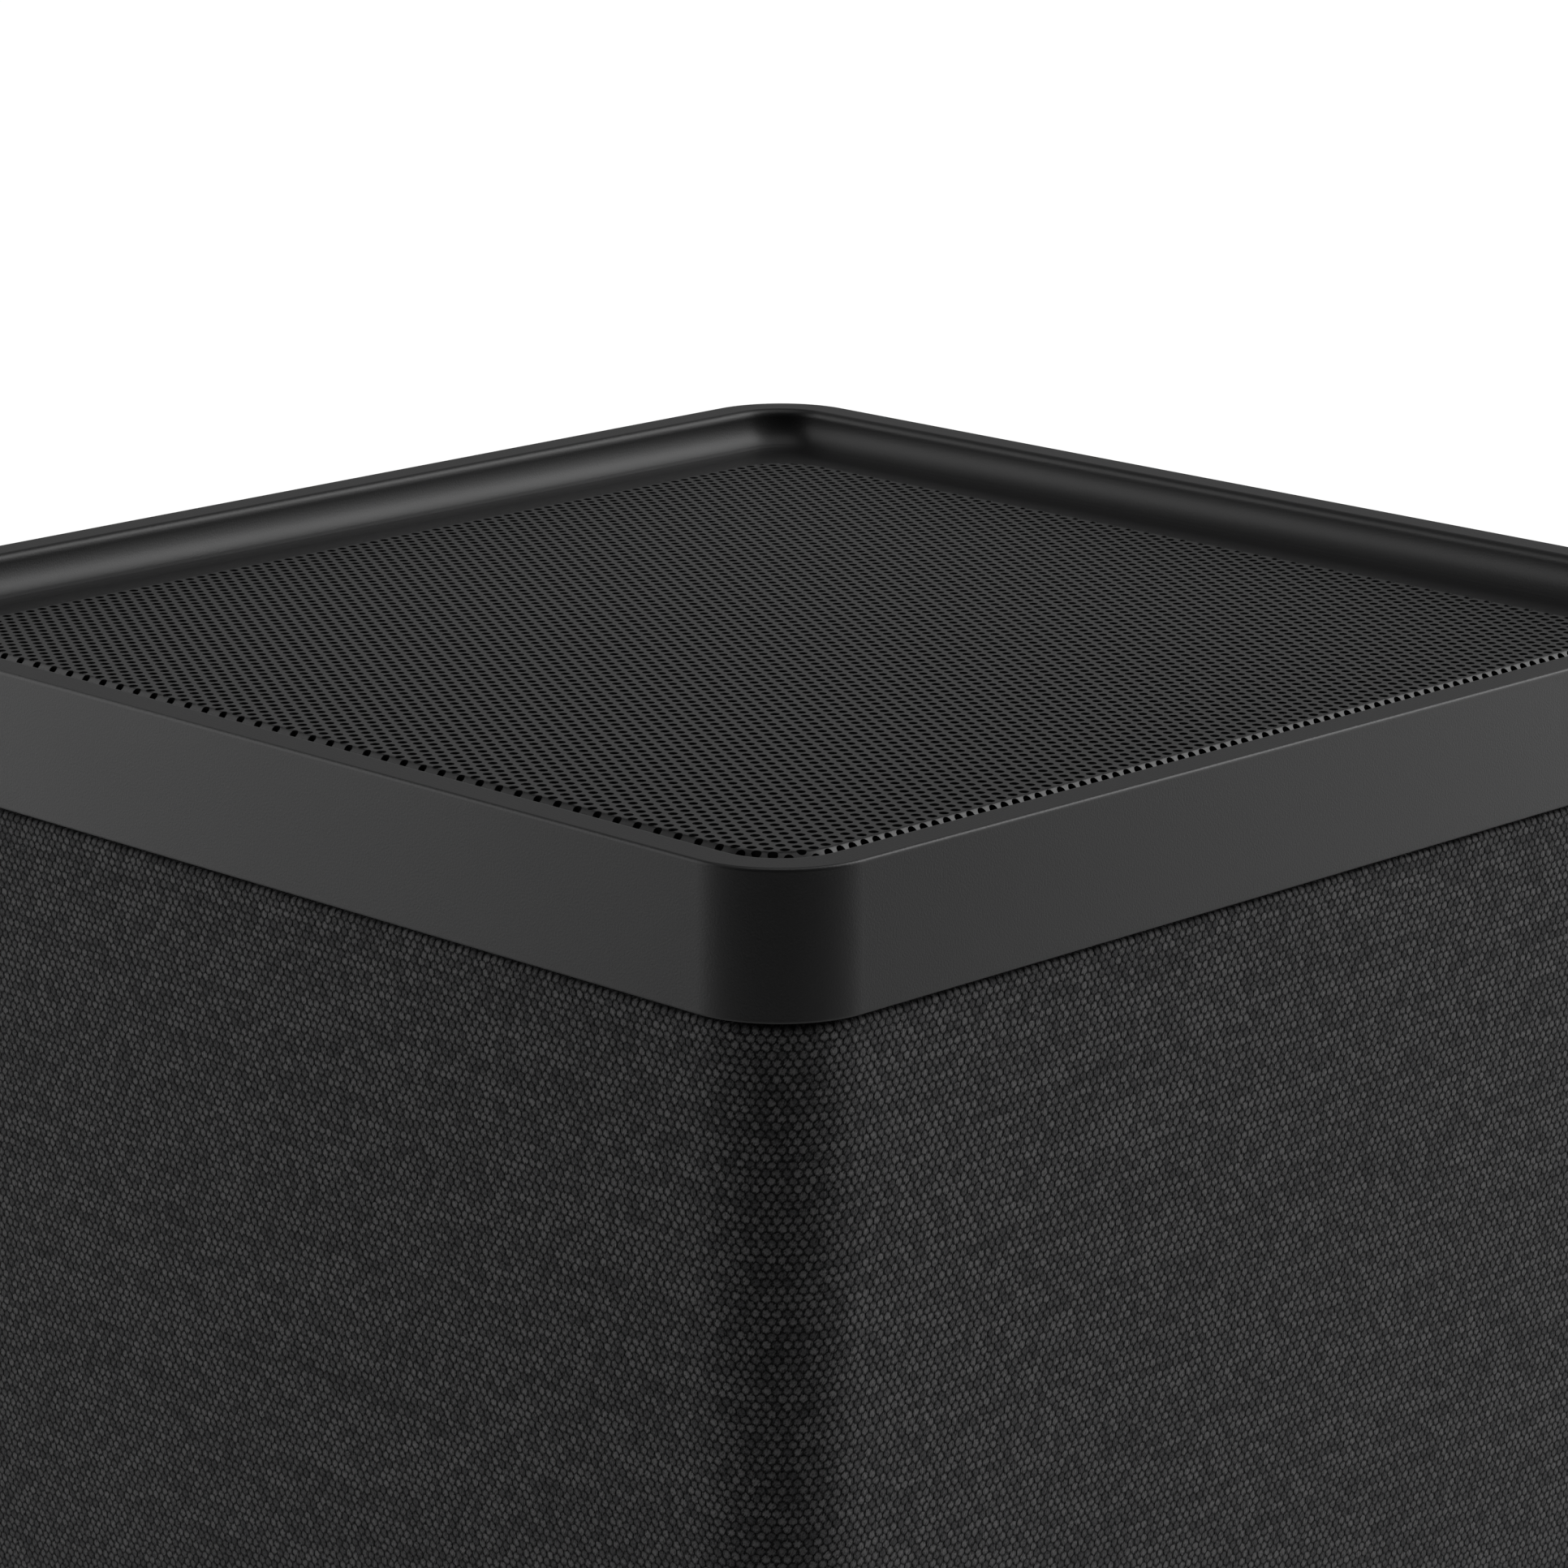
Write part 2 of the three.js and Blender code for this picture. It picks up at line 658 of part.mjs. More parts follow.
// A small screw driven up through the board from below.
const underScrew = (x, y, tipZ) => join(
  post(smallScrew.head, x, y, boardBottom - gap - smallScrew.headHeight, boardBottom - gap, 12),
  post(smallScrew.shaft, x, y, boardBottom - gap - 0.5, tipZ, 10),
);
sinkPosts.forEach(([sx, sy], index) => {
  const solid = underScrew(sx * sinkPostX, sinkShift + sy * sinkPostY, sinkBottom + sinkBase - 2);
  addPart(`heatsink_screw_${index + 1}`, solid, finishes.steel);
});

// ---- Sockets ----
const ethernetJack = (x) => {
  const shell = box(
    x - jackWidth / 2, x + jackWidth / 2,
    socketFace - jackLength, socketFace, partBottom, partBottom + jackHeight,
  );
  const end = socketFace - plugDepth;
  const mouth = socketFace + 1;
  const roof = socketFloor + plugHeight;
  return cut(
    shell,
    box(x - plugWidth / 2, x + plugWidth / 2, end, mouth, socketFloor, roof),
    box(x - latchWidth / 2, x + latchWidth / 2, end, mouth, roof - 1, roof + latchHeight),
  );
};

const powerJack = () => {
  const half = powerSize / 2;
  const left = powerX - half;
  const right = powerX + half;
  const back = socketFace - powerLength;
  const barrel = box(left, right, back, socketFace, buttonHeight - half, buttonHeight + half);
  const foot = box(left, right, back, socketFace - 5, partBottom, buttonHeight);
  const bore = bar(powerBore, powerX, buttonHeight, socketFace - powerBoreDepth, socketFace + 1, 24);
  const pin = bar(powerPin, powerX, buttonHeight, socketFace - powerBoreDepth - 1, socketFace - 1, 12);
  return join(cut(join(barrel, foot), bore), pin);
};

jackXs.forEach((x, index) => addPart(`ethernet_jack_${index + 1}`, ethernetJack(x), finishes.socketBlack));
addPart('power_jack', powerJack(), finishes.socketBlack);

// ---- Buttons and their switches ----
const switchY = halfY - switchFace;
const switchBody = (x, boreRadius, boreDepth) => cut(
  box(
    x - switchSize / 2, x + switchSize / 2,
    switchY - switchLength, switchY, partBottom, buttonHeight + switchSize / 2,
  ),
  bar(boreRadius, x, buttonHeight, switchY - boreDepth, switchY + 1, 16),
);

const stemEnd = switchY + syncTravel + gap;
const plungerSunk = 1.5; // length of plunger inside the switch
const syncBoreDepth = plungerSunk + syncTravel + gap;
const syncCap = () => join(
  bar(syncRadius, syncX, buttonHeight, spineInner - gap - syncFlange, bayFloor + syncProud, 28),
  bar(syncRadius + 1, syncX, buttonHeight, spineInner - gap - syncFlange, spineInner - gap, 28),
  bar(stemRadius, syncX, buttonHeight, stemEnd, spineInner - gap - 0.5, 16),
);
const resetBoreDepth = 3;
const resetPinEnd = switchY - resetBoreDepth + resetTravel + gap;
const resetPin = () => join(
  bar(resetRadius, resetX, buttonHeight, resetPinEnd, bayFloor - resetSunk, 14),
  bar(resetRadius + 0.8, resetX, buttonHeight, spineInner - gap - 0.8, spineInner - gap, 16),
);

addPart('sync_button', syncCap(), finishes.buttonGrey);
addPart('sync_plunger', bar(
  plungerRadius, syncX, buttonHeight, switchY - plungerSunk, stemEnd - gap, 16,
), finishes.socketBlack);
addPart('sync_switch', switchBody(syncX, plungerRadius + gap, syncBoreDepth), finishes.socketBlack);
addPart('reset_button', resetPin(), finishes.buttonGrey);
addPart('reset_switch', switchBody(resetX, resetRadius + gap, resetBoreDepth), finishes.socketBlack);

// ---- Status light ----
const ledHeight = 1;
const ledTop = boardBottom - gap;
const guideTop = ledTop - ledHeight - gap;
addPart('light_guide', join(
  box(-lightHalf, lightHalf, -halfY + gap, -halfY + lightReach, lightBottom, lightBottom + lightThickness),
  box(-lightHalf / 2, lightHalf / 2, -halfY + lightReach - 3, -halfY + lightReach, lightBottom, guideTop),
), finishes.clearGuide);
const ledY = -halfY + lightReach - 1.5;
addPart('status_led', blockOn(0, ledY, 3, 2, ledTop - ledHeight, ledTop), finishes.ledWhite);

// ---- Aerials ----
const aerialX = halfX - ringInset - ringWidth / 2;
const antennaFrame = () => {
  let frame = ring(ringInset, cornerRadius - 3, ringWidth, ringHeight, ringHeight + ringThickness);
  for (const [sx, sy] of corners) {
    frame = join(frame, blockOn(sx * legX, sy * legY, legSize, legSize, partBottom, ringHeight + 1));
  }
  for (const [sx, sy] of corners) {
    frame = cut(frame, blockOn(
      sx * aerialX, sy * aerialY, aerialThickness + 2 * gap, aerialWidth + 2 * gap,
      ringHeight - 1, ringHeight + ringThickness + 1,
    ));
  }
  for (const [sx, sy] of legScrews) {
    frame = cut(frame, post(smallHole, sx * legX, sy * legY, partBottom - 1, partBottom + 8, 12));
  }
  return frame;
};

const antennaCable = (sx, sy) => {
  const start = halfX - boardInset - 2;
  const end = aerialX + aerialThickness / 2 + cableRadius + gap;
  const y = sy * aerialY;
  const route = new THREE.CatmullRomCurve3([
    new THREE.Vector3(sx * start, y, partBottom),
    new THREE.Vector3(sx * start, y, partBottom + 8),
    new THREE.Vector3(sx * (start - 0.5), y + sy * 2, partBottom + 24),
    new THREE.Vector3(sx * (start - 1), y + sy * 3, aerialBottom - 24),
    new THREE.Vector3(sx * end, y, aerialBottom - 2),
    new THREE.Vector3(sx * end, y, aerialBottom + 10),
  ]);
  const section = new THREE.Shape();
  section.absarc(0, 0, cableRadius, 0, 2 * Math.PI);
  return new THREE.ExtrudeGeometry(section, {
    steps: 16,
    extrudePath: route,
    curveSegments: 4,
    bevelEnabled: false,
  });
};

addPart('antenna_frame', antennaFrame(), finishes.coreBlack);
legScrews.forEach(([sx, sy], index) => {
  addPart(`leg_screw_${index + 1}`, underScrew(sx * legX, sy * legY, partBottom + 7), finishes.steel);
});
corners.forEach(([sx, sy], index) => {
  const aerial = blockOn(
    sx * aerialX, sy * aerialY, aerialThickness, aerialWidth, aerialBottom, aerialBottom + aerialHeight,
  );
  addPart(`antenna_board_${index + 1}`, aerial, finishes.aerialGreen);
  addPart(`antenna_cable_${index + 1}`, antennaCable(sx, sy), finishes.cableBlack);
});

export default node;
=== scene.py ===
import json
import math

import bmesh
import bpy
from bpy.props import FloatProperty, FloatVectorProperty, IntProperty, PointerProperty
from mathutils import Matrix, Vector


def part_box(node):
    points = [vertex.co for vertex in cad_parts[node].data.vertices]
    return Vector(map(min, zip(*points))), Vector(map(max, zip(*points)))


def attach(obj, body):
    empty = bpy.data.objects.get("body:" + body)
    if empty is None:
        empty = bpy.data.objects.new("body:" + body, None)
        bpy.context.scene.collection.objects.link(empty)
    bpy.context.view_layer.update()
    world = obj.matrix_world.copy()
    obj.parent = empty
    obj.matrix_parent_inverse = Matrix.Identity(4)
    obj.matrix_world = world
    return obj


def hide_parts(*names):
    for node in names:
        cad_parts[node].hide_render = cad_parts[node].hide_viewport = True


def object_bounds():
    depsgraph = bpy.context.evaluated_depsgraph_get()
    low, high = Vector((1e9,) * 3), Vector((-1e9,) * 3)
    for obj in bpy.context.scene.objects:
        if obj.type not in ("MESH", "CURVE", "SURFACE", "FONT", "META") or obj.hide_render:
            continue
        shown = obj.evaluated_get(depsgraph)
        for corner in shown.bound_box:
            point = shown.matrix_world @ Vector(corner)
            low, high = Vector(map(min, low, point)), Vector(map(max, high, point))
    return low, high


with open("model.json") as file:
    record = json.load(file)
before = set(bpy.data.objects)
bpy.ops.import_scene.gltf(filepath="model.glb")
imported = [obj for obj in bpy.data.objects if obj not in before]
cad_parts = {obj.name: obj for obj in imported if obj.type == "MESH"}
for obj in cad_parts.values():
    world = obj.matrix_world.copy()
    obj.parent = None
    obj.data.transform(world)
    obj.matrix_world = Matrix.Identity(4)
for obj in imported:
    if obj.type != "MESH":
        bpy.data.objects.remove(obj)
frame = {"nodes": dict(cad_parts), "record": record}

bl_info = {
    "name": "Mesh Wifi Node",
    "version": (1, 0, 0),
    "blender": (4, 5, 0),
    "location": "View3D > Sidebar > Wifi Node",
    "description": "Builds the finished look of a cloth-wrapped mesh wifi node round its packed frame",
    "category": "Object",
}

CAD_LOW, CAD_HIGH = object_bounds()
HALF = CAD_HIGH.x  # the tower is square in plan
TOP = CAD_HIGH.z
FRAME_LOW, FRAME_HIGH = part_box("top_frame")
GRILLE_LOW, GRILLE_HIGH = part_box("top_grille")
BASE_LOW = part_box("base_frame")[0]
CLOTH_LOW, CLOTH_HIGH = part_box("fabric_wrap")
SPINE_LOW, SPINE_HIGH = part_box("rear_spine")
PLATE_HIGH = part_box("base_plate")[1]
QUARTER = math.pi / 2
GAP = 0.0003  # clearance between pieces that sit in one another
HAIR = 0.00002  # keeps two faces from lying in one plane


# ---------------------------------------------------------------- settings

def length(name, description, default, **options):
    return FloatProperty(name=name, description=description, default=default, unit="LENGTH", **options)


def tint(name, description, default):
    return FloatVectorProperty(
        name=name, description=description, default=default, subtype="COLOR", size=3, min=0.0, max=1.0)


def glow(name, description, default):
    return FloatProperty(name=name, description=description, default=default, min=0.0)


class WifiNodeSizes(bpy.types.PropertyGroup):
    """Sizes that a user would change. The frame sets the rest."""

    corner: length("Corner radius", "Radius of the tower's upright corners", 0.010, min=0.004)
    corner_steps: IntProperty(
        name="Corner steps", description="Facets in each rounded corner of the mouldings",
        default=20, min=4)
    band_wall: length("Band wall", "Wall thickness of the moulded bands", 0.0025)
    rim: length("Rim width", "Width of the flat rim round the top", 0.004)
    rim_edge: length("Rim edge", "Radius of the rim's outer edge", 0.00032)
    rim_inner_edge: length("Rim inner edge", "Radius where the rim turns down into the cove", 0.0008)
    soft_edge: length("Soft edge", "Radius of the other moulded edges", 0.0002)
    cove: length("Cove radius", "Radius of the hollow curve inside the rim", 0.0035)
    ledge_depth: length("Ledge depth", "Rim down to the ledge round the grille", 0.0045)
    ledge_thickness: length("Ledge thickness", "Thickness of the ledge over the grille's flange", 0.0015)
    grille_inset: length("Grille inset", "Outer face of the tower to the grille's turned edge", 0.012)
    grille_gap: length("Grille gap", "Gap between the ledge and the grille", 0.0003)
    grille_corner: length("Grille corner", "Corner radius of the grille's turned edge", 0.008)
    grille_slope: length("Grille slope", "Width of the slope round the grille's flat field", 0.002)
    grille_fold: length("Grille fold", "Radius of the fold between the flat field and the slope", 0.0004)
    grille_sheet: length("Grille sheet", "Thickness of the perforated sheet", 0.0008)
    hole_pitch: length("Hole pitch", "Distance between neighbouring holes", 0.0015)
    hole: length("Hole diameter", "Diameter of the grille's round holes", 0.00098)
    hole_sides: IntProperty(
        name="Hole sides", description="Sides of each hole, a multiple of six",
        default=12, min=6)
    cloth: length("Cloth thickness", "Thickness of the cloth", 0.0009)
    cloth_swell: length("Cloth swell", "How far the cloth stands out in the middle of a side", 0.00018)
    bead_width: length("Weave width", "Distance between beads of the weave along a row", 0.000904)
    bead_height: length("Weave height", "Distance between rows of beads", 0.000703)


class WifiNodeColours(bpy.types.PropertyGroup):
    """Colours of the visible finishes."""

    moulding: tint("Moulding", "Satin black of the bands and the rear strip", (0.013, 0.013, 0.0133))
    grille: tint("Grille", "Powder coat of the perforated sheet", (0.012, 0.012, 0.0123))
    cloth_light: tint("Light yarn", "Lightest yarn of the melange cloth", (0.196, 0.194, 0.195))
    cloth_dark: tint("Dark yarn", "Darkest yarn of the melange cloth", (0.052, 0.052, 0.054))
    inner: tint("Inner plastic", "Matt black of the hidden mouldings", (0.010, 0.010, 0.010))
    floor: tint("Floor", "Pale studio floor", (0.80, 0.80, 0.80))


class WifiNodeStudio(bpy.types.PropertyGroup):
    """Camera and lights."""

    lens: FloatProperty(
        name="Lens", description="Focal length on a 36 mm sensor",
        default=0.13546, unit="CAMERA", precision=2)
    out_x: length("Camera X", "Camera's distance out from the right face", 0.3345)
    out_y: length("Camera Y", "Camera's distance out from the front face", 0.3340)
    above: length("Camera height", "Camera's height over the rim", 0.1327)
    tilt: FloatProperty(
        name="Camera tilt", description="How far the camera looks down",
        default=math.radians(14.728), subtype="ANGLE")
    left: glow("Left panel", "Brightness of the left panel", 1.4)
    right: glow("Right panel", "Brightness of the right panel", 1.3)
    back: glow("Back panel", "Brightness of the back panel", 0.25)
    over: glow("Rear top panel", "Brightness of the rear top panel", 2.4)
    ceiling: glow("Ceiling panel", "Brightness of the ceiling panel", 0.75)
    ambient: glow("Ambient", "Brightness of the room", 0.025)
    backdrop: glow("Backdrop", "Brightness behind the object", 1.05)


# ---------------------------------------------------------------- shader nodes

class Value:
    """A node's output. Arithmetic on it adds Math nodes to its material."""

    def __init__(self, paint, socket):
        self.paint = paint
        self.socket = socket

    def math(self, operation, *values):
        return self.paint.node("ShaderNodeMath", {"operation": operation}, dict(enumerate(values)))

    def __add__(self, other):
        return self.math("ADD", self, other)

    def __sub__(self, other):
        return self.math("SUBTRACT", self, other)

    def __rsub__(self, other):
        return self.math("SUBTRACT", other, self)

    def __mul__(self, other):
        return self.math("MULTIPLY", self, other)

    def __truediv__(self, other):
        return self.math("DIVIDE", self, other)

    def __rtruediv__(self, other):
        return self.math("DIVIDE", other, self)

    def __pow__(self, other):
        return self.math("POWER", self, other)

    def __mod__(self, other):
        return self.math("FLOORED_MODULO", self, other)

    __radd__ = __add__
    __rmul__ = __mul__

    def floor(self):
        return self.math("FLOOR", self)

    def abs(self):
        return self.math("ABSOLUTE", self)

    def smaller(self, other):
        return self.math("MINIMUM", self, other)

    def larger(self, other):
        return self.math("MAXIMUM", self, other)

    def between(self, low, high):
        """Eases from 0 to 1 as the value goes from low to high."""
        settings = {"interpolation_type": "SMOOTHSTEP"}
        inputs = {"Value": self, "From Min": low, "From Max": high}
        return self.paint.node("ShaderNodeMapRange", settings, inputs)


class Paint:
    """One material and the nodes that vary it. Constants go straight on the shader."""

    def __init__(self, name, **constants):
        self.material = bpy.data.materials.new(name)
        self.material.use_nodes = True
        self.tree = self.material.node_tree
        self.shader = self.tree.nodes["Principled BSDF"]
        self.set(**constants)

    def node(self, kind, settings=None, inputs=None, output=0):
        """Adds a node and gives its output. Settings go first, because they can change its sockets."""
        made = self.tree.nodes.new(kind)
        for key, value in (settings or {}).items():
            setattr(made, key, value)
        for key, value in (inputs or {}).items():
            self.feed(made.inputs[key], value)
        return Value(self, made.outputs[output])

    def feed(self, socket, value):
        if isinstance(value, Value):
            self.tree.links.new(value.socket, socket)
        elif socket.type == "RGBA":
            socket.default_value = (*value, 1.0)
        else:
            socket.default_value = value

    def set(self, **inputs):
        """Links varying values to the shader's own sockets, and sets constants on them."""
        for key, value in inputs.items():
            self.feed(self.shader.inputs[key.replace("_", " ").title().replace("Ior", "IOR")], value)

    def place(self):
        return self.node("ShaderNodeTexCoord", output="Object")

    def uv(self):
        return self.node("ShaderNodeUVMap", {"uv_map": "Weave"})

    def attribute(self, name):
        return self.node("ShaderNodeAttribute", {"attribute_name": name}, output="Fac")

    def split(self, vector):
        made = self.node("ShaderNodeSeparateXYZ", inputs={0: vector})
        sockets = made.socket.node.outputs
        return [Value(self, socket) for socket in sockets]

    def combine(self, x, y, z=0.0):
        return self.node("ShaderNodeCombineXYZ", inputs={0: x, 1: y, 2: z})

    def noise(self, scale, detail=2.0, vector=None, roughness=0.5):
        """Noise from 0 to 1. Scale is in cycles to a metre on Object coordinates."""
        inputs = {
            "Vector": vector if vector else self.place(),
            "Scale": scale, "Detail": detail, "Roughness": roughness,
        }
        return self.node("ShaderNodeTexNoise", inputs=inputs)

    def random(self, vector):
        return self.node("ShaderNodeTexWhiteNoise", inputs={"Vector": vector})

    def mix(self, factor, first, second):
        """Mixes two colours. The node's colour sockets are inputs 6 and 7 and output 2."""
        inputs = {0: factor, 6: first, 7: second}
        return self.node("ShaderNodeMix", {"data_type": "RGBA"}, inputs, output=2)

    def bump(self, height, distance, strength=1.0):
        inputs = {"Height": height, "Distance": distance, "Strength": strength}
        return self.node("ShaderNodeBump", inputs=inputs)


# ---------------------------------------------------------------- finishes

def shaded(colour, share):
    """A colour made darker or paler."""
    return [channel * share for channel in colour]


def satin_moulding(colours):
    """Moulded plastic with a fine spark grain, and the rim's outer edge painted paler: partly rubbed
    wear, partly a painted highlight.
    """
    paint = Paint("satin_moulding", specular_ior_level=0.5)
    grain = paint.noise(5200.0, 2.0)
    cloud = paint.noise(38.0, 3.0)
    # Wear and painted highlight: the rim's outer edge is mixed towards a paler colour, which partly
    # stands in for the bright line of light that the edge catches.
    wear_and_highlight = paint.attribute("wear_and_highlight")
    pale = [channel * 2.1 + 0.004 for channel in colours.moulding]
    body = paint.mix(cloud * 0.35, colours.moulding, shaded(colours.moulding, 1.25))
    paint.set(
        base_color=paint.mix(wear_and_highlight * 0.55, body, pale),
        roughness=0.39 + grain * 0.07 + cloud * 0.04 - wear_and_highlight * 0.06,
        normal=paint.bump(grain, 0.00003, 0.6),
    )
    return paint.material


def powder_coat(colours):
    """Black powder coat on steel sheet."""
    paint = Paint("powder_coat", specular_ior_level=0.5)
    grain = paint.noise(4200.0, 2.0)
    cloud = paint.noise(60.0, 2.0)
    paint.set(
        base_color=paint.mix(cloud, colours.grille, shaded(colours.grille, 1.3)),
        roughness=0.34 + grain * 0.08,
        normal=paint.bump(grain, 0.00001, 0.5),
    )
    return paint.material


def nearest_bead(paint, sizes, along, row, seed):
    """How far a point lies from its bead's middle, squared, and the bead's own random shade."""
    pitch = sizes.bead_width
    column = along + 0.5
    pair = row * 0.5 + 0.5
    across = column % 1.0 - 0.5
    up = (pair % 1.0 - 0.5) * (2 * sizes.bead_height / pitch)
    count = paint.combine(column.floor(), pair.floor(), seed)
    touch = 0.52  # a bead meets its neighbours at this share of its width
    return (across * across + up * up) / touch ** 2, paint.random(count)


def melange_cloth(colours, sizes):
    """Close woven cloth: beads in staggered rows, each of its own shade, with fibres across them, and
    painted shade in the gaps between the beads.
    """
    paint = Paint("melange_cloth", roughness=0.92, specular_ior_level=0.25,
                  sheen_weight=0.12, sheen_roughness=0.45, sheen_tint=(0.75, 0.75, 0.78))
    u, v, _ = paint.split(paint.uv())
    stretch = paint.noise(55.0, 2.0, paint.uv()) - 0.5
    sag = paint.noise(70.0, 2.0, paint.combine(v, u)) - 0.5
    wobble = paint.noise(1500.0, 1.0, paint.uv()) - 0.5
    twist = paint.noise(1500.0, 1.0, paint.combine(v, u)) - 0.5
    along = u / sizes.bead_width + stretch * 0.3 + wobble * 0.25
    row = v / sizes.bead_height + sag * 0.22 + twist * 0.25
    # Beads lie on two lattices, one half a step from the other. Each point belongs to its nearest bead.
    near, shade = nearest_bead(paint, sizes, along, row, 0.0)
    other, other_shade = nearest_bead(paint, sizes, along + 0.5, row + 1.0, 5.0)
    first = near.math("LESS_THAN", near, other)
    shade = first * shade + (1.0 - first) * other_shade
    reach = near.smaller(other)
    fibre = paint.noise(7000.0, 2.0, paint.combine(u + v * 0.45, v * 0.4), 0.7)
    fleck = paint.noise(4600.0, 2.0, paint.combine(u, v * 1.4))
    streak = paint.noise(260.0, 2.0, paint.combine(u * 0.12, v * 2.2))
    dome = (1.0 - reach * 1.05).larger(0.0) ** 0.5
    tone = 0.24 * shade + 0.54 * fleck + 0.22 * streak
    yarn = paint.mix(tone.between(0.27, 0.73), colours.cloth_dark, colours.cloth_light)
    # Painted shade: the colour falls nearly to black where the beads drop away into the gaps between
    # them, as shade falls there.
    painted_gap_shade = shaded(colours.cloth_dark, 0.03)
    lit = dome + (fibre - 0.5) * 1.6
    paint.set(
        base_color=paint.mix(lit.between(0.42, 1.00), painted_gap_shade, yarn),
        normal=paint.bump(dome + fibre * 0.75, 0.0003, 0.9),
    )
    return paint.material


def matt_plastic(name, colour, roughness=0.62):
    """Plain matt moulding with a coarse spark texture."""
    paint = Paint(name)
    grain = paint.noise(2600.0, 3.0)
    cloud = paint.noise(45.0, 2.0)
    paint.set(
        base_color=paint.mix(cloud, colour, shaded(colour, 1.35)),
        roughness=roughness + grain * 0.12,
        normal=paint.bump(grain, 0.00002, 0.5),
    )
    return paint.material


def soft_rubber(name, colour):
    """Rubber with a dusty bloom."""
    paint = Paint(name, specular_ior_level=0.3)
    bloom = paint.noise(420.0, 4.0)
    paint.set(
        base_color=paint.mix(bloom.between(0.35, 0.8), colour, shaded(colour, 1.9)),
        roughness=0.78 + bloom * 0.15,
        normal=paint.bump(paint.noise(2200.0, 2.0), 0.00003, 0.5),
    )
    return paint.material


def worked_metal(name, colour, roughness, stretch=(1.0, 1.0, 14.0)):
    """Metal with fine lines drawn along it."""
    paint = Paint(name, metallic=1.0)
    x, y, z = paint.split(paint.place())
    lines = paint.noise(900.0, 3.0, paint.combine(x * stretch[0], y * stretch[1], z * stretch[2]))
    stain = paint.noise(160.0, 3.0)
    paint.set(
        base_color=paint.mix(stain, colour, shaded(colour, 0.82)),
        roughness=roughness + lines * 0.14,
        normal=paint.bump(lines, 0.000012, 0.6),
    )
    return paint.material


def solder_mask(name, colour):
    """Circuit board lacquer with copper tracks showing through as paler lines."""
    paint = Paint(name, coat_weight=0.35, coat_roughness=0.2)
    field, pitch = 0.004, 0.0011  # a field of the board has its tracks in one direction
    x, y, _ = paint.split(paint.place())
    cell = paint.random(paint.combine((x / field).floor(), (y / field).floor()))
    across = (((x + y * (cell - 0.5)) / pitch) % 1.0 - 0.5).abs()
    track = across.between(0.30, 0.26) * cell.between(0.35, 0.40)
    pale = shaded(colour, 2.4)
    paint.set(
        base_color=paint.mix(track, colour, pale),
        roughness=0.42 + paint.noise(600.0) * 0.12,
        normal=paint.bump(track, 0.00003, 0.6),
    )
    return paint.material


def glowing_guide_plastic():
    """Milky light guide, with a faint painted glow in place of light scattered inside the plastic."""
    # Painted glow: the faint emission stands in for light scattered inside the milky plastic, though the
    # guide is no lamp.
    paint = Paint("glowing_guide_plastic", coat_weight=0.4, coat_roughness=0.15,
                  emission_color=(0.86, 0.93, 1.0), emission_strength=0.12)
    haze = paint.noise(420.0, 2.0)
    paint.set(
        base_color=paint.mix(haze, (0.70, 0.73, 0.75), (0.80, 0.82, 0.84)),
        roughness=0.22 + haze * 0.12,
    )
    return paint.material


def blank_label_film(colour):
    """Matt film with a fine printed border and no print inside it."""
    paint = Paint("blank_label_film", specular_ior_level=0.3)
    x, y, _ = paint.split(paint.place())
    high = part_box("rating_label")[1]
    margin = 0.0016
    print_grey = (0.18, 0.18, 0.18)
    from_edge = (high.x - x.abs()).smaller(high.y - y.abs())
    line = (from_edge - margin).abs().between(0.00022, 0.00014)
    paper = paint.noise(1900.0, 4.0)
    paint.set(
        base_color=paint.mix(line * 0.55, paint.mix(paper, colour, shaded(colour, 0.9)), print_grey),
        roughness=0.58 + paper * 0.12,
    )
    return paint.material


# ---------------------------------------------------------------- mesh helpers

def add_piece(name, bm, material, body="housing", nodes=(), sharp=35.0):
    """Links a finished bmesh as a piece that rides on a body. Edges over the sharp angle stay crisp."""
    for face in bm.faces:
        face.smooth = True
    for edge in bm.edges:
        edge.smooth = len(edge.link_faces) == 2 and edge.calc_face_angle() < math.radians(sharp)
    mesh = bpy.data.meshes.new(name)
    bm.to_mesh(mesh)
    bm.free()
    mesh.materials.append(material)
    piece = bpy.data.objects.new(name, mesh)
    bpy.context.scene.collection.objects.link(piece)
    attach(piece, body)
    if nodes:
        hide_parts(*nodes)
    return piece


def new_verts(geometry):
    return [item for item in geometry if isinstance(item, bmesh.types.BMVert)]


def outline_place(around, steps, inset, radius):
    """Where a vertex of a ring lies on the tower's rounded outline, drawn in by an inset."""
    corner, step = divmod(around, steps + 1)
    side_x = 1 if corner in (0, 3) else -1
    side_y = 1 if corner in (0, 1) else -1
    angle = (corner + step / steps) * QUARTER
    reach = HALF - inset - radius
    return side_x * reach + radius * math.cos(angle), side_y * reach + radius * math.sin(angle)


def held(levels, close=0.00006):
    """Adds a level close to each end of every long flat, so that smooth shading keeps it flat."""
    out = []
    for here, there in zip(levels, [*levels[1:], levels[0]]):
        out.append(here)
        flat = math.dist(here, there)
        if flat > 12 * close:
            for share in (close / flat, 1 - close / flat):
                out.append(tuple(a + (b - a) * share for a, b in zip(here, there)))
    return out


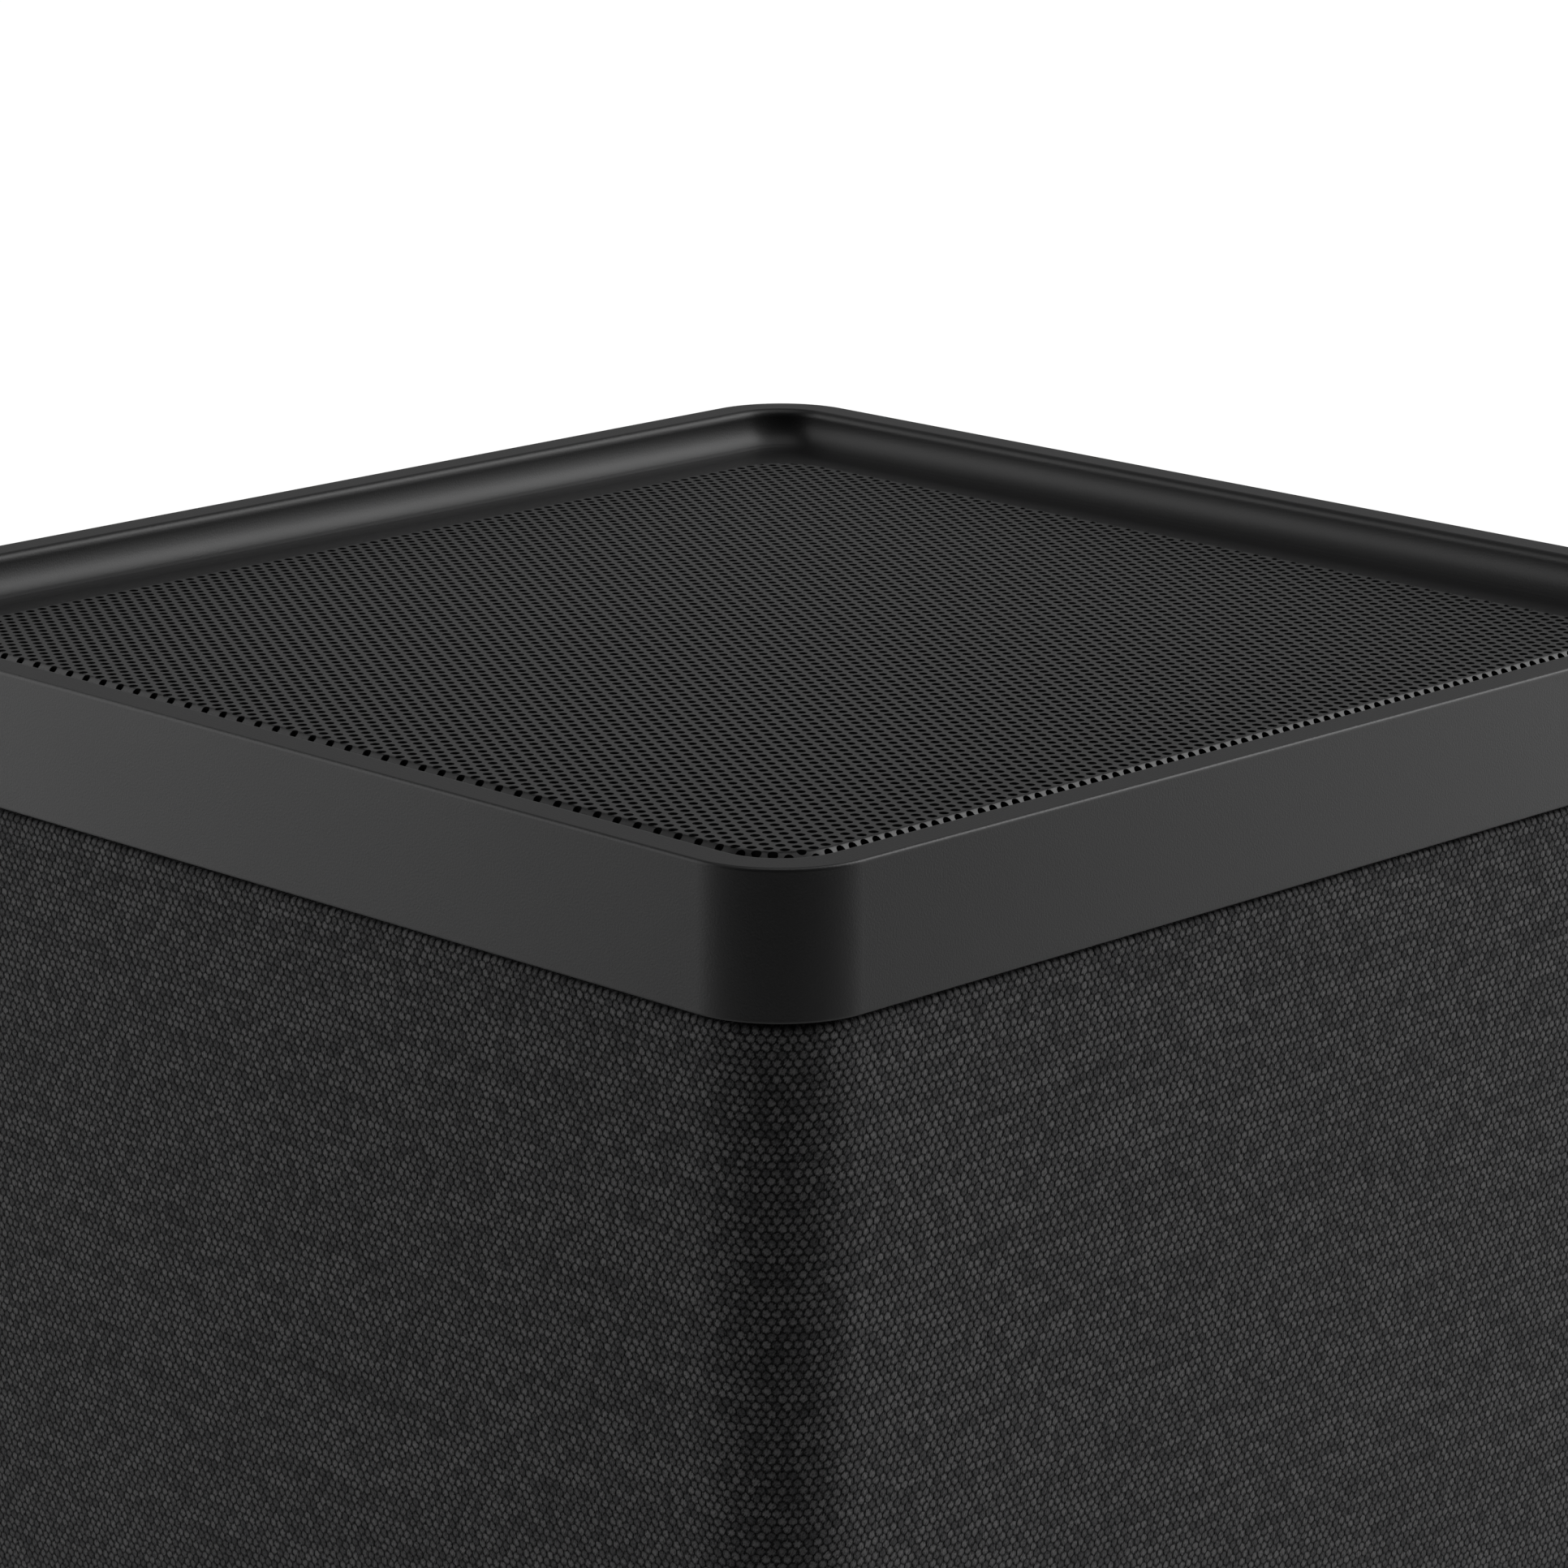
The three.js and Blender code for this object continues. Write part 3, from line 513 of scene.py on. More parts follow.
def lofted_ring(levels, steps, wear_and_highlight_within=0.0):
    """A closed ring round the tower. Its section's levels are (inset, corner radius, height)."""
    levels = held(levels)
    bm = bmesh.new()
    around = bm.verts.layers.int.new("around")
    wear_and_highlight = bm.verts.layers.float.new("wear_and_highlight")
    count = 4 * (steps + 1)
    verts = bmesh.ops.create_circle(bm, radius=1.0, segments=count)["verts"]
    for vert in verts:
        turn = math.atan2(vert.co.y, vert.co.x) / (2 * math.pi)
        vert[around] = round(turn * count) % count
    edges = bm.edges[:]
    for number, (inset, radius, z) in enumerate([*levels, levels[0]]):
        if number:
            grown = bmesh.ops.extrude_edge_only(bm, edges=edges)["geom"]
            verts = new_verts(grown)
            fresh = set(verts)
            edges = [e for e in bm.edges[-3 * count:] if e.verts[0] in fresh and e.verts[1] in fresh]
        for vert in verts:
            vert.co = (*outline_place(vert[around], steps, inset, radius), z)
            # Marks the rim's outer edge for the moulding's paler colour, which is partly wear and partly
            # a painted highlight.
            vert[wear_and_highlight] = 1.0 if inset < wear_and_highlight_within and z > TOP - wear_and_highlight_within else 0.0
    bmesh.ops.remove_doubles(bm, verts=bm.verts, dist=1e-7)
    bmesh.ops.recalc_face_normals(bm, faces=bm.faces)
    return bm


def spread(steps, start, end):
    """Evenly spaced values from start to end, both ends in."""
    return [start + (end - start) * step / steps for step in range(steps + 1)]


def arc(centre, radius, steps, start, end):
    """Points of a section's round stretch, as (across, up). Start and end are in quarter turns."""
    across, up = centre
    angles = spread(steps, start * QUARTER, end * QUARTER)
    return [(across + radius * math.cos(a), up + radius * math.sin(a)) for a in angles]


def middle(node):
    """The middle of a CAD piece in plan."""
    low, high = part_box(node)
    return (low.x + high.x) / 2, (low.y + high.y) / 2


def half_width(node):
    low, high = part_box(node)
    return (high.x - low.x) / 2


def bevelled(bm, edges, width, segments):
    bmesh.ops.bevel(bm, geom=edges, offset=width, segments=segments, profile=0.5,
                    affect="EDGES", material=-1, clamp_overlap=True)


def softened(node, name, material, edge, body="housing"):
    """A CAD piece's shape with its sharp edges rounded over."""
    bm = bmesh.new()
    bm.from_mesh(frame["nodes"][node].data)
    bmesh.ops.remove_doubles(bm, verts=bm.verts, dist=1e-6)
    bmesh.ops.dissolve_limit(bm, angle_limit=math.radians(0.6), verts=bm.verts, edges=bm.edges)
    sharp = [e for e in bm.edges if len(e.link_faces) == 2 and e.calc_face_angle() > math.radians(40)]
    bevelled(bm, sharp, edge, 2)
    add_piece(name, bm, material, body, nodes=(node,))


def block(bm, low, high):
    """Adds a box between two corners and gives its verts."""
    low, high = Vector(low), Vector(high)
    made = bmesh.ops.create_cube(bm, size=1.0)["verts"]
    bmesh.ops.scale(bm, vec=high - low, verts=made)
    bmesh.ops.translate(bm, vec=(low + high) / 2, verts=made)
    return made


def turned(profile, steps, centre=(0, 0, 0), axis="Z"):
    """A shape turned from a profile of (radius, height) points."""
    bm = bmesh.new()
    verts = [bm.verts.new((radius, 0, z)) for radius, z in profile]
    edges = [bm.edges.new(pair) for pair in zip(verts, verts[1:])]
    bmesh.ops.spin(bm, geom=verts + edges, cent=(0, 0, 0), axis=(0, 0, 1), angle=2 * math.pi,
                   steps=steps, use_merge=True)
    bmesh.ops.remove_doubles(bm, verts=bm.verts, dist=1e-7)
    bmesh.ops.recalc_face_normals(bm, faces=bm.faces)
    if axis == "Y":
        bmesh.ops.rotate(bm, verts=bm.verts, matrix=Matrix.Rotation(-QUARTER, 3, "X"))
    bmesh.ops.translate(bm, verts=bm.verts, vec=centre)
    return bm


def carve(piece, cutter):
    """Cuts a cutter's shape out of a piece for good."""
    mesh = bpy.data.meshes.new("cutter")
    cutter.to_mesh(mesh)
    cutter.free()
    tool = bpy.data.objects.new("cutter", mesh)
    bpy.context.scene.collection.objects.link(tool)
    cut = piece.modifiers.new("cut", "BOOLEAN")
    cut.operation = "DIFFERENCE"
    cut.solver = "EXACT"
    cut.object = tool
    seen = piece.evaluated_get(bpy.context.evaluated_depsgraph_get())
    result = bpy.data.meshes.new_from_object(seen)
    piece.modifiers.clear()
    piece.data = result
    bpy.data.objects.remove(tool)
    bpy.data.meshes.remove(mesh)


# ---------------------------------------------------------------- the stage

class WIFI_OT_stage(bpy.types.Operator):
    """Camera, floor, panels and backdrop"""

    bl_idname = "wifi.stage"
    bl_label = "Stage"

    def execute(self, context):
        studio = context.scene.wifi_studio
        self.add_camera(context, studio)
        self.add_floor(context.scene.wifi_colours.floor)
        self.add_world(context, studio)
        side = {"distance": 0.62, "width": 0.92, "foot": 0.01}
        self.add_panel("left_panel", studio.left, turn=-109.0, head=0.66, **side)
        self.add_panel("right_panel", studio.right, turn=114.0, head=0.95, **side)
        self.add_panel("back_panel", studio.back, turn=-165.0, head=1.00,
                       distance=1.10, width=1.50, foot=0.20)
        above = (0, 0, TOP)
        self.add_light("over_panel", studio.over, 0.7, 0.7, place=(0.40, 0.68, 0.97), aim=above)
        self.add_light("ceiling_panel", studio.ceiling, 0.9, 0.9, place=(0.10, -0.10, 1.3), aim=above)
        context.scene.view_settings.view_transform = "Standard"
        return {"FINISHED"}

    def add_camera(self, context, studio):
        data = bpy.data.cameras.new("camera")
        data.sensor_width = 36.0
        data.lens = studio.lens * 1000
        data.clip_start = 0.01
        data.clip_end = 50.0
        camera = bpy.data.objects.new("camera", data)
        camera.location = (HALF + studio.out_x, -HALF - studio.out_y, TOP + studio.above)
        camera.rotation_euler = (QUARTER - studio.tilt, 0.0, QUARTER / 2)
        context.scene.collection.objects.link(camera)
        context.scene.camera = camera

    def add_floor(self, colour):
        bm = bmesh.new()
        bmesh.ops.create_circle(bm, cap_ends=True, radius=0.85, segments=96)
        mesh = bpy.data.meshes.new("floor")
        bm.to_mesh(mesh)
        bm.free()
        paint = Paint("floor", specular_ior_level=0.2)
        tooth = paint.noise(300.0, 3.0)
        paint.set(
            base_color=paint.mix(tooth, colour, shaded(colour, 0.97)),
            roughness=0.7 + tooth * 0.1,
        )
        mesh.materials.append(paint.material)
        floor = bpy.data.objects.new("floor", mesh)
        bpy.context.scene.collection.objects.link(floor)

    def add_world(self, context, studio):
        """White behind the object, and a dim room for everything that the lights don't reach."""
        world = bpy.data.worlds.new("studio")
        world.use_nodes = True
        tree = world.node_tree
        room = tree.nodes["Background"]
        white = tree.nodes.new("ShaderNodeBackground")
        for node, strength in ((room, studio.ambient), (white, studio.backdrop)):
            node.inputs["Strength"].default_value = strength
            node.inputs["Color"].default_value = (1, 1, 1, 1)
        path = tree.nodes.new("ShaderNodeLightPath")
        mix = tree.nodes.new("ShaderNodeMixShader")
        tree.links.new(path.outputs["Is Camera Ray"], mix.inputs[0])
        tree.links.new(room.outputs[0], mix.inputs[1])
        tree.links.new(white.outputs[0], mix.inputs[2])
        tree.links.new(mix.outputs[0], tree.nodes["World Output"].inputs["Surface"])
        context.scene.world = world

    def add_light(self, name, brightness, width, height, place, aim):
        data = bpy.data.lights.new(name, "AREA")
        data.shape = "RECTANGLE"
        data.size = width
        data.size_y = height
        data.energy = brightness * width * height * math.pi
        light = bpy.data.objects.new(name, data)
        light.location = place
        light.rotation_euler = (Vector(aim) - Vector(place)).to_track_quat("-Z", "Y").to_euler()
        light.visible_camera = False
        bpy.context.scene.collection.objects.link(light)

    def add_panel(self, name, brightness, turn, distance, width, foot, head):
        """An upright panel that faces the tower, turned in degrees from the camera's side of it."""
        angle = math.radians(turn) - QUARTER / 2
        level = (foot + head) / 2
        place = (distance * math.cos(angle), distance * math.sin(angle), level)
        self.add_light(name, brightness, width, head - foot, place, aim=(0, 0, level))


# ---------------------------------------------------------------- top

class WIFI_OT_top_frame(bpy.types.Operator):
    """Moulded ring: band, rim, cove and ledge"""

    bl_idname = "wifi.top_frame"
    bl_label = "Top frame"

    def execute(self, context):
        s = context.scene.wifi_sizes
        low = FRAME_LOW.z
        soft = s.soft_edge
        rim_edge, inner_edge = s.rim_edge, s.rim_inner_edge
        opening = s.grille_inset - s.grille_gap
        opening_corner = s.grille_corner + s.grille_gap
        ledge = TOP - s.ledge_depth
        under = ledge - s.ledge_thickness
        cove_out = s.rim + s.cove
        points = [
            *arc((soft, low + soft), soft, 3, -1, -2),
            *arc((rim_edge, TOP - rim_edge), rim_edge, 4, 2, 1),
            *arc((s.rim - inner_edge, TOP - inner_edge), inner_edge, 5, 1, 0),
            *arc((cove_out, ledge + s.cove), s.cove, 10, 2, 3),
        ]
        levels = [(inset, s.corner - inset, z) for inset, z in points]
        levels += [
            (opening - soft, opening_corner + soft, ledge),
            (opening, opening_corner, ledge - soft),
            (opening, opening_corner, under),
            (s.band_wall, s.corner - s.band_wall, under),
            (s.band_wall, s.corner - s.band_wall, low + soft),
            (s.band_wall - soft, s.corner - s.band_wall + soft, low),
        ]
        # The rim's outer edge gets the paler colour of wear and a painted highlight.
        bm = lofted_ring(levels, s.corner_steps, wear_and_highlight_within=rim_edge * 0.9)
        material = satin_moulding(context.scene.wifi_colours)
        add_piece("top_frame_moulding", bm, material, nodes=("top_frame",))
        return {"FINISHED"}


class WIFI_OT_grille(bpy.types.Operator):
    """Perforated sheet with its edges turned down, in four quarters"""

    bl_idname = "wifi.grille"
    bl_label = "Grille"

    def execute(self, context):
        s = context.scene.wifi_sizes
        self.flat = HALF - s.grille_inset - s.grille_slope
        self.corner = s.grille_corner - s.grille_slope
        self.fold = s.grille_fold
        self.tilt = QUARTER / 2
        self.folded = self.fold * self.tilt
        self.slope = (s.grille_slope - self.fold * math.sin(self.tilt)) / math.cos(self.tilt)
        self.top = GRILLE_HIGH.z
        self.pitch = s.hole_pitch
        self.row = s.hole_pitch * math.sqrt(3) / 2
        perforated_to = self.folded + self.slope
        self.lip = 0.0016  # plain edge below the slope
        sheet = self.cells(s, True, -HALF, perforated_to)
        self.take(sheet, self.cells(s, False, perforated_to, perforated_to + self.lip))
        bmesh.ops.remove_doubles(sheet, verts=sheet.verts, dist=2e-6)
        self.crease(sheet)
        for vert in sheet.verts:
            vert.co = self.bent(vert.co)
        bmesh.ops.recalc_face_normals(sheet, faces=sheet.faces)
        if sum(face.normal.z for face in sheet.faces) < 0:
            bmesh.ops.reverse_faces(sheet, faces=sheet.faces)
        material = powder_coat(context.scene.wifi_colours)
        quarters = {
            "front_left": [-1, -1], "front_right": [1, -1],
            "rear_left": [-1, 1], "rear_right": [1, 1],
        }
        for name, sides in quarters.items():
            quarter = sheet.copy()
            unwanted = [face for face in quarter.faces if self.sides(face.calc_center_median()) != sides]
            bmesh.ops.delete(quarter, geom=unwanted, context="FACES")
            piece = add_piece(f"grille_{name}", quarter, material,
                              nodes=("top_grille",), sharp=50.0)
            thick = piece.modifiers.new("sheet", "SOLIDIFY")
            thick.thickness = s.grille_sheet
            thick.offset = -1.0
        sheet.free()
        self.add_flange(s, material)
        return {"FINISHED"}

    def cell(self, s, perforated):
        """One six-sided cell of the sheet, with its round hole."""
        bm = bmesh.new()
        sixth = math.pi / 3
        rim = bmesh.ops.create_circle(bm, radius=self.pitch / 2, segments=s.hole_sides)["verts"]
        for vert in rim:
            turn = math.atan2(vert.co.y, vert.co.x)
            off_flat = (turn - QUARTER) % sixth
            vert.co /= math.cos(min(off_flat, sixth - off_flat))
        rim_edges = bm.edges[:]
        hole = bmesh.ops.create_circle(bm, radius=s.hole / 2, segments=s.hole_sides)["verts"]
        hole_edges = [edge for edge in bm.edges if edge.verts[0] in hole]
        bmesh.ops.bridge_loops(bm, edges=rim_edges + hole_edges)
        if not perforated:
            filled = bmesh.ops.edgeloop_fill(bm, edges=hole_edges)["faces"]
            bmesh.ops.poke(bm, faces=filled)
        return bm

    def repeat(self, bm, count, offset):
        """Fills the bmesh with count copies of what it holds, each offset from the last."""
        unit = (len(bm.verts), len(bm.edges), len(bm.faces))
        made = 1
        while made < count:
            take = min(made, count - made)
            geometry = bm.verts[:take * unit[0]] + bm.edges[:take * unit[1]] + bm.faces[:take * unit[2]]
            copies = bmesh.ops.duplicate(bm, geom=geometry)["geom"]
            bmesh.ops.translate(bm, verts=new_verts(copies), vec=Vector(offset) * made)
            made += take

    def cells(self, s, perforated, nearest, furthest):
        """The sheet's cells whose centres lie between two distances beyond the flat field."""
        bm = self.cell(s, perforated)
        reach = self.flat + furthest
        along = 2 * math.ceil(reach / self.pitch) + 2
        self.repeat(bm, along, (0, self.pitch, 0))
        first = bm.verts[:] + bm.edges[:] + bm.faces[:]
        other = new_verts(bmesh.ops.duplicate(bm, geom=first)["geom"])
        bmesh.ops.translate(bm, verts=other, vec=(self.row, self.pitch / 2, 0))
        pairs = math.ceil(reach / self.row) + 1
        self.repeat(bm, pairs, (2 * self.row, 0, 0))
        start = Vector((-pairs * self.row + self.row / 2, -along / 2 * self.pitch, 0))
        bmesh.ops.translate(bm, verts=bm.verts, vec=start)
        self.start = start
        unwanted = [
            face for face in bm.faces
            if not nearest < self.beyond(*self.cell_centre(face.calc_center_median()))[0] <= furthest
        ]
        bmesh.ops.delete(bm, geom=unwanted, context="FACES")
        return bm

    def cell_centre(self, point):
        """The centre of the cell that a point of the flat sheet lies in."""
        best = None
        column = round((point.x - self.start.x) / self.row)
        for near in (column - 1, column, column + 1):
            shift = (near % 2) * self.pitch / 2
            y0 = self.start.y + shift
            y = y0 + round((point.y - y0) / self.pitch) * self.pitch
            x = self.start.x + near * self.row
            gap = (point.x - x) ** 2 + (point.y - y) ** 2
            if best is None or gap < best[0]:
                best = (gap, x, y)
        return best[1], best[2]

    def sides(self, point):
        return [1 if part >= 0 else -1 for part in point.xy]

    def beyond(self, x, y):
        """How far a point lies outside the flat field, and the way out."""
        core = self.flat - self.corner
        out = Vector((max(abs(x) - core, 0.0), max(abs(y) - core, 0.0)))
        if out.length == 0:
            return -self.corner, out
        way = out.normalized()
        return out.length - self.corner, Vector((math.copysign(way.x, x), math.copysign(way.y, y)))

    def bent(self, point):
        """A point of the flat sheet once its edges are turned down."""
        distance, way = self.beyond(point.x, point.y)
        if distance <= 0:
            return Vector((point.x, point.y, self.top))
        angle = min(distance / self.fold, self.tilt)
        slope = min(max(distance - self.folded, 0.0), self.slope)
        straight = max(distance - self.folded - self.slope, 0.0)
        out = self.fold * math.sin(angle) + slope * math.cos(self.tilt)
        drop = self.fold * (1 - math.cos(angle)) + slope * math.sin(self.tilt) + straight
        back = distance - out
        return Vector((point.x - way.x * back, point.y - way.y * back, self.top - drop))

    def crease(self, bm):
        """Cuts the sheet's faces along its folds, so that the folds come out straight."""
        for side in (-1, 1):
            for way in (Vector((side, 0, 0)), Vector((0, side, 0))):
                for beyond in (0.0, self.folded / 2, self.folded, self.folded + self.slope):
                    line = self.flat + beyond
                    faces = [
                        face for face in bm.faces
                        if abs(face.calc_center_median().dot(way) - line) < self.pitch
                    ]
                    edges = list({edge for face in faces for edge in face.edges})
                    verts = list({vert for face in faces for vert in face.verts})
                    bmesh.ops.bisect_plane(bm, geom=faces + edges + verts, dist=1e-7,
                                           plane_co=way * line, plane_no=way)

    def take(self, bm, other):
        """Moves another bmesh's shape into this one."""
        mesh = bpy.data.meshes.new("cells")
        other.to_mesh(mesh)
        other.free()
        bm.from_mesh(mesh)
        bpy.data.meshes.remove(mesh)

    def add_flange(self, s, material):
        """The plain edge of the sheet, under the ledge, where the retainer holds it."""
        low = GRILLE_LOW.z
        sheet = s.grille_sheet
        overlap = 0.0007  # how far the flange's upright reaches up inside the lip
        out = HALF - GRILLE_HIGH.x
        head = self.top - s.grille_slope - self.lip + overlap
        inner = s.grille_inset + sheet
        outer = s.grille_inset + HAIR
        levels = [
            (inner, s.grille_corner - sheet, low),
            (out, s.corner, low),
            (out, s.corner, low + sheet),
            (outer, s.grille_corner, low + sheet),
            (outer, s.grille_corner, head),
            (inner, s.grille_corner - sheet, head),
        ]
        bm = lofted_ring(levels, steps=12)
        add_piece("grille_flange", bm, material)


# ---------------------------------------------------------------- sides

class WIFI_OT_cloth(bpy.types.Operator):
    """Cloth stretched round the sides, from one edge of the rear strip to the other"""

    bl_idname = "wifi.cloth"
    bl_label = "Cloth"

    def execute(self, context):
        s = context.scene.wifi_sizes
        bm = bmesh.new()
        self.inset = HALF - CLOTH_HIGH.x
        self.centre = HALF - s.corner
        self.low, self.high = CLOTH_LOW.z, CLOTH_HIGH.z
        start = SPINE_HIGH.x + GAP
        section = self.section()
        verts = [bm.verts.new((start, HALF - inset, z)) for inset, z in section]
        edges = [bm.edges.new(pair) for pair in zip(verts, verts[1:])]
        centre = self.centre
        stub = centre - start
        edges = self.straight(bm, edges, (stub, 0, 0), 6)
        for side, (x, y) in enumerate(((1, 1), (1, -1), (-1, -1), (-1, 1))):
            edges = self.turn(bm, edges, (x * centre, y * centre, 0))
            way = ((0, -1), (-1, 0), (0, 1), (1, 0))[side]
            reach, steps = (stub, 6) if side == 3 else (2 * centre, 30)
            edges = self.straight(bm, edges, (way[0] * reach, way[1] * reach, 0), steps)
        bmesh.ops.remove_doubles(bm, verts=bm.verts, dist=1e-7)
        bmesh.ops.recalc_face_normals(bm, faces=bm.faces)
        if sum(face.normal.x * face.calc_center_median().x for face in bm.faces) < 0:
            bmesh.ops.reverse_faces(bm, faces=bm.faces)
        self.map_weave(bm, s)
        self.swell(bm, s.cloth_swell)
        material = melange_cloth(context.scene.wifi_colours, s)
        piece = add_piece("cloth_wrap", bm, material,
                          nodes=("fabric_wrap",), sharp=80.0)
        thick = piece.modifiers.new("cloth", "SOLIDIFY")
        thick.thickness = s.cloth
        thick.offset = -1.0
        return {"FINISHED"}

    def section(self):
        """The cloth's upright section as (inset, height), its ends drawn in under the bands."""
        tuck = 0.0007
        foot = arc((self.inset + tuck, self.low + tuck), tuck, 4, -1, -2)
        wall = [(self.inset, z) for z in spread(24, self.low + tuck, self.high - tuck)[1:-1]]
        head = [(inset, self.low + self.high - z) for inset, z in reversed(foot)]
        return foot + wall + head

    def straight(self, bm, edges, way, steps):
        for _ in range(steps):
            before = len(bm.edges)
            verts = new_verts(bmesh.ops.extrude_edge_only(bm, edges=edges)["geom"])
            bmesh.ops.translate(bm, verts=verts, vec=Vector(way) / steps)
            fresh = set(verts)
            edges = [e for e in bm.edges[before:] if e.verts[0] in fresh and e.verts[1] in fresh]
        return edges

    def turn(self, bm, edges, centre):
        verts = list({vert for edge in edges for vert in edge.verts})
        last = bmesh.ops.spin(bm, geom=verts + edges, cent=centre, axis=(0, 0, 1),
                              angle=-QUARTER, steps=12)["geom_last"]
        return [item for item in last if isinstance(item, bmesh.types.BMEdge)]

    def run(self, x, y, corner):
        """Distance along the cloth from the middle of the tower's back."""
        quarter = 2 * self.centre + QUARTER * corner
        heading = math.atan2(x, y) % (2 * math.pi)
        side = math.floor(heading / QUARTER + 0.5)
        turn = Matrix.Rotation(side * QUARTER, 2)
        along, out = turn @ Vector((x, y))
        past = abs(along) - self.centre
        if past > 0:
            along = math.copysign(self.centre + corner * math.atan2(past, out - self.centre), along)
        return side * quarter + along

    def map_weave(self, bm, s):
        """Lays the cloth's map out at its real size, in metres."""
        layer = bm.loops.layers.uv.new("Weave")
        radius = s.corner - self.inset
        for face in bm.faces:
            for loop in face.loops:
                co = loop.vert.co
                loop[layer].uv = (self.run(co.x, co.y, radius), co.z)

    def swell(self, bm, amount):
        """Lets the middle of each side stand out a little, as stretched cloth does."""
        for vert in bm.verts:
            height = (vert.co.z - self.low) / (self.high - self.low)
            rise = math.sin(math.pi * min(max(height, 0.0), 1.0)) ** 0.6
            for axis in (0, 1):
                other = vert.co[1 - axis]
                if abs(vert.co[axis]) > self.centre and abs(other) < self.centre:
                    across = math.cos(QUARTER * other / self.centre) ** 0.6
                    vert.co[axis] += math.copysign(amount * rise * across, vert.co[axis])


class WIFI_OT_spine(bpy.types.Operator):
    """Rear strip with the port bay"""

    bl_idname = "wifi.spine"
    bl_label = "Rear strip"

    def execute(self, context):
        material = satin_moulding(context.scene.wifi_colours)
        softened("rear_spine", "rear_strip", material, edge=0.00022)
        return {"FINISHED"}


# ---------------------------------------------------------------- sockets and buttons

class WIFI_OT_sockets(bpy.types.Operator):
    """Network sockets with their contacts and lamps, and the power socket"""

    bl_idname = "wifi.sockets"
    bl_label = "Sockets"

    def execute(self, context):
        plastic = matt_plastic("socket_plastic", (0.016, 0.016, 0.017), 0.45)
        gold = worked_metal("gold_plate", (0.86, 0.60, 0.24), 0.22)
        nickel = worked_metal("nickel_plate", (0.62, 0.60, 0.57), 0.24)
        lamps = (
            self.lamp_plastic("amber_lamp", (0.72, 0.36, 0.06)),
            self.lamp_plastic("green_lamp", (0.10, 0.46, 0.12)),
        )
        for number in (1, 2):
            node = f"ethernet_jack_{number}"
            softened(node, f"network_socket_{number}", plastic, edge=0.00015)
            self.add_contacts(node, number, gold)
            self.add_lamps(node, number, lamps)
        softened("power_jack", "power_socket", plastic, edge=0.00015)
        self.add_power_pin(nickel)
        return {"FINISHED"}

    def lamp_plastic(self, name, colour):
        paint = Paint(name, coat_weight=0.3)
        haze = paint.noise(2400.0, 2.0)
        paint.set(
            base_color=paint.mix(haze, colour, shaded(colour, 0.7)),
            roughness=0.25 + haze * 0.1,
        )
        return paint.material

    def add_contacts(self, node, number, gold):
        """Eight sprung contacts that slope up into the mouth from its floor."""
        low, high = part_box(node)
        count, pitch = 8, 0.00102
        width, thickness = 0.00036, 0.0003
        front, back = high.y - 0.0045, high.y - 0.0135
        foot = low.z + 0.0017
        rise = 0.0026
        bm = bmesh.new()
        for index in range(count):
            x = middle(node)[0] + (index - (count - 1) / 2) * pitch
            made = block(bm, (x - width / 2, back, foot), (x + width / 2, front, foot + thickness))
            rear = [vert for vert in made if vert.co.y < (front + back) / 2]
            bmesh.ops.translate(bm, verts=rear, vec=(0, 0, rise))
        bevelled(bm, bm.edges[:], 0.00006, 1)
        add_piece(f"socket_contacts_{number}", bm, gold)

    def add_lamps(self, node, number, lamps):
        """Two small lamps over the latch notch's shoulders."""
        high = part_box(node)[1]
        aside, width, height, depth = 0.0049, 0.0022, 0.0015, 0.002
        proud, below = 0.00012, 0.0013
        for name, side, material in zip(("right", "left"), (-1, 1), lamps):
            x = middle(node)[0] + side * aside
            bm = bmesh.new()
            block(bm, (x - width / 2, high.y - depth, high.z - below - height),
                  (x + width / 2, high.y + proud, high.z - below))
            bevelled(bm, bm.edges[:], 0.00015, 2)
            add_piece(f"socket_lamp_{number}_{name}", bm, material)

    def add_power_pin(self, nickel):
        """The pin in the middle of the power socket, with a shallow bore in its tip."""
        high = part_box("power_jack")[1]
        radius, bore, reach = 0.00118, 0.00055, 0.0088
        chamfer, depth = 0.0003, 0.0009
        foot = high.y - 0.0099
        profile = [
            (0.0, 0.0), (radius, 0.0), (radius, reach - chamfer), (radius - chamfer, reach),
            (bore, reach), (bore, reach - depth), (0.0, reach - depth),
        ]
        place = (middle("power_jack")[0], foot, high.z - half_width("power_jack"))
        add_piece("power_pin", turned(profile, 32, place, "Y"), nickel)


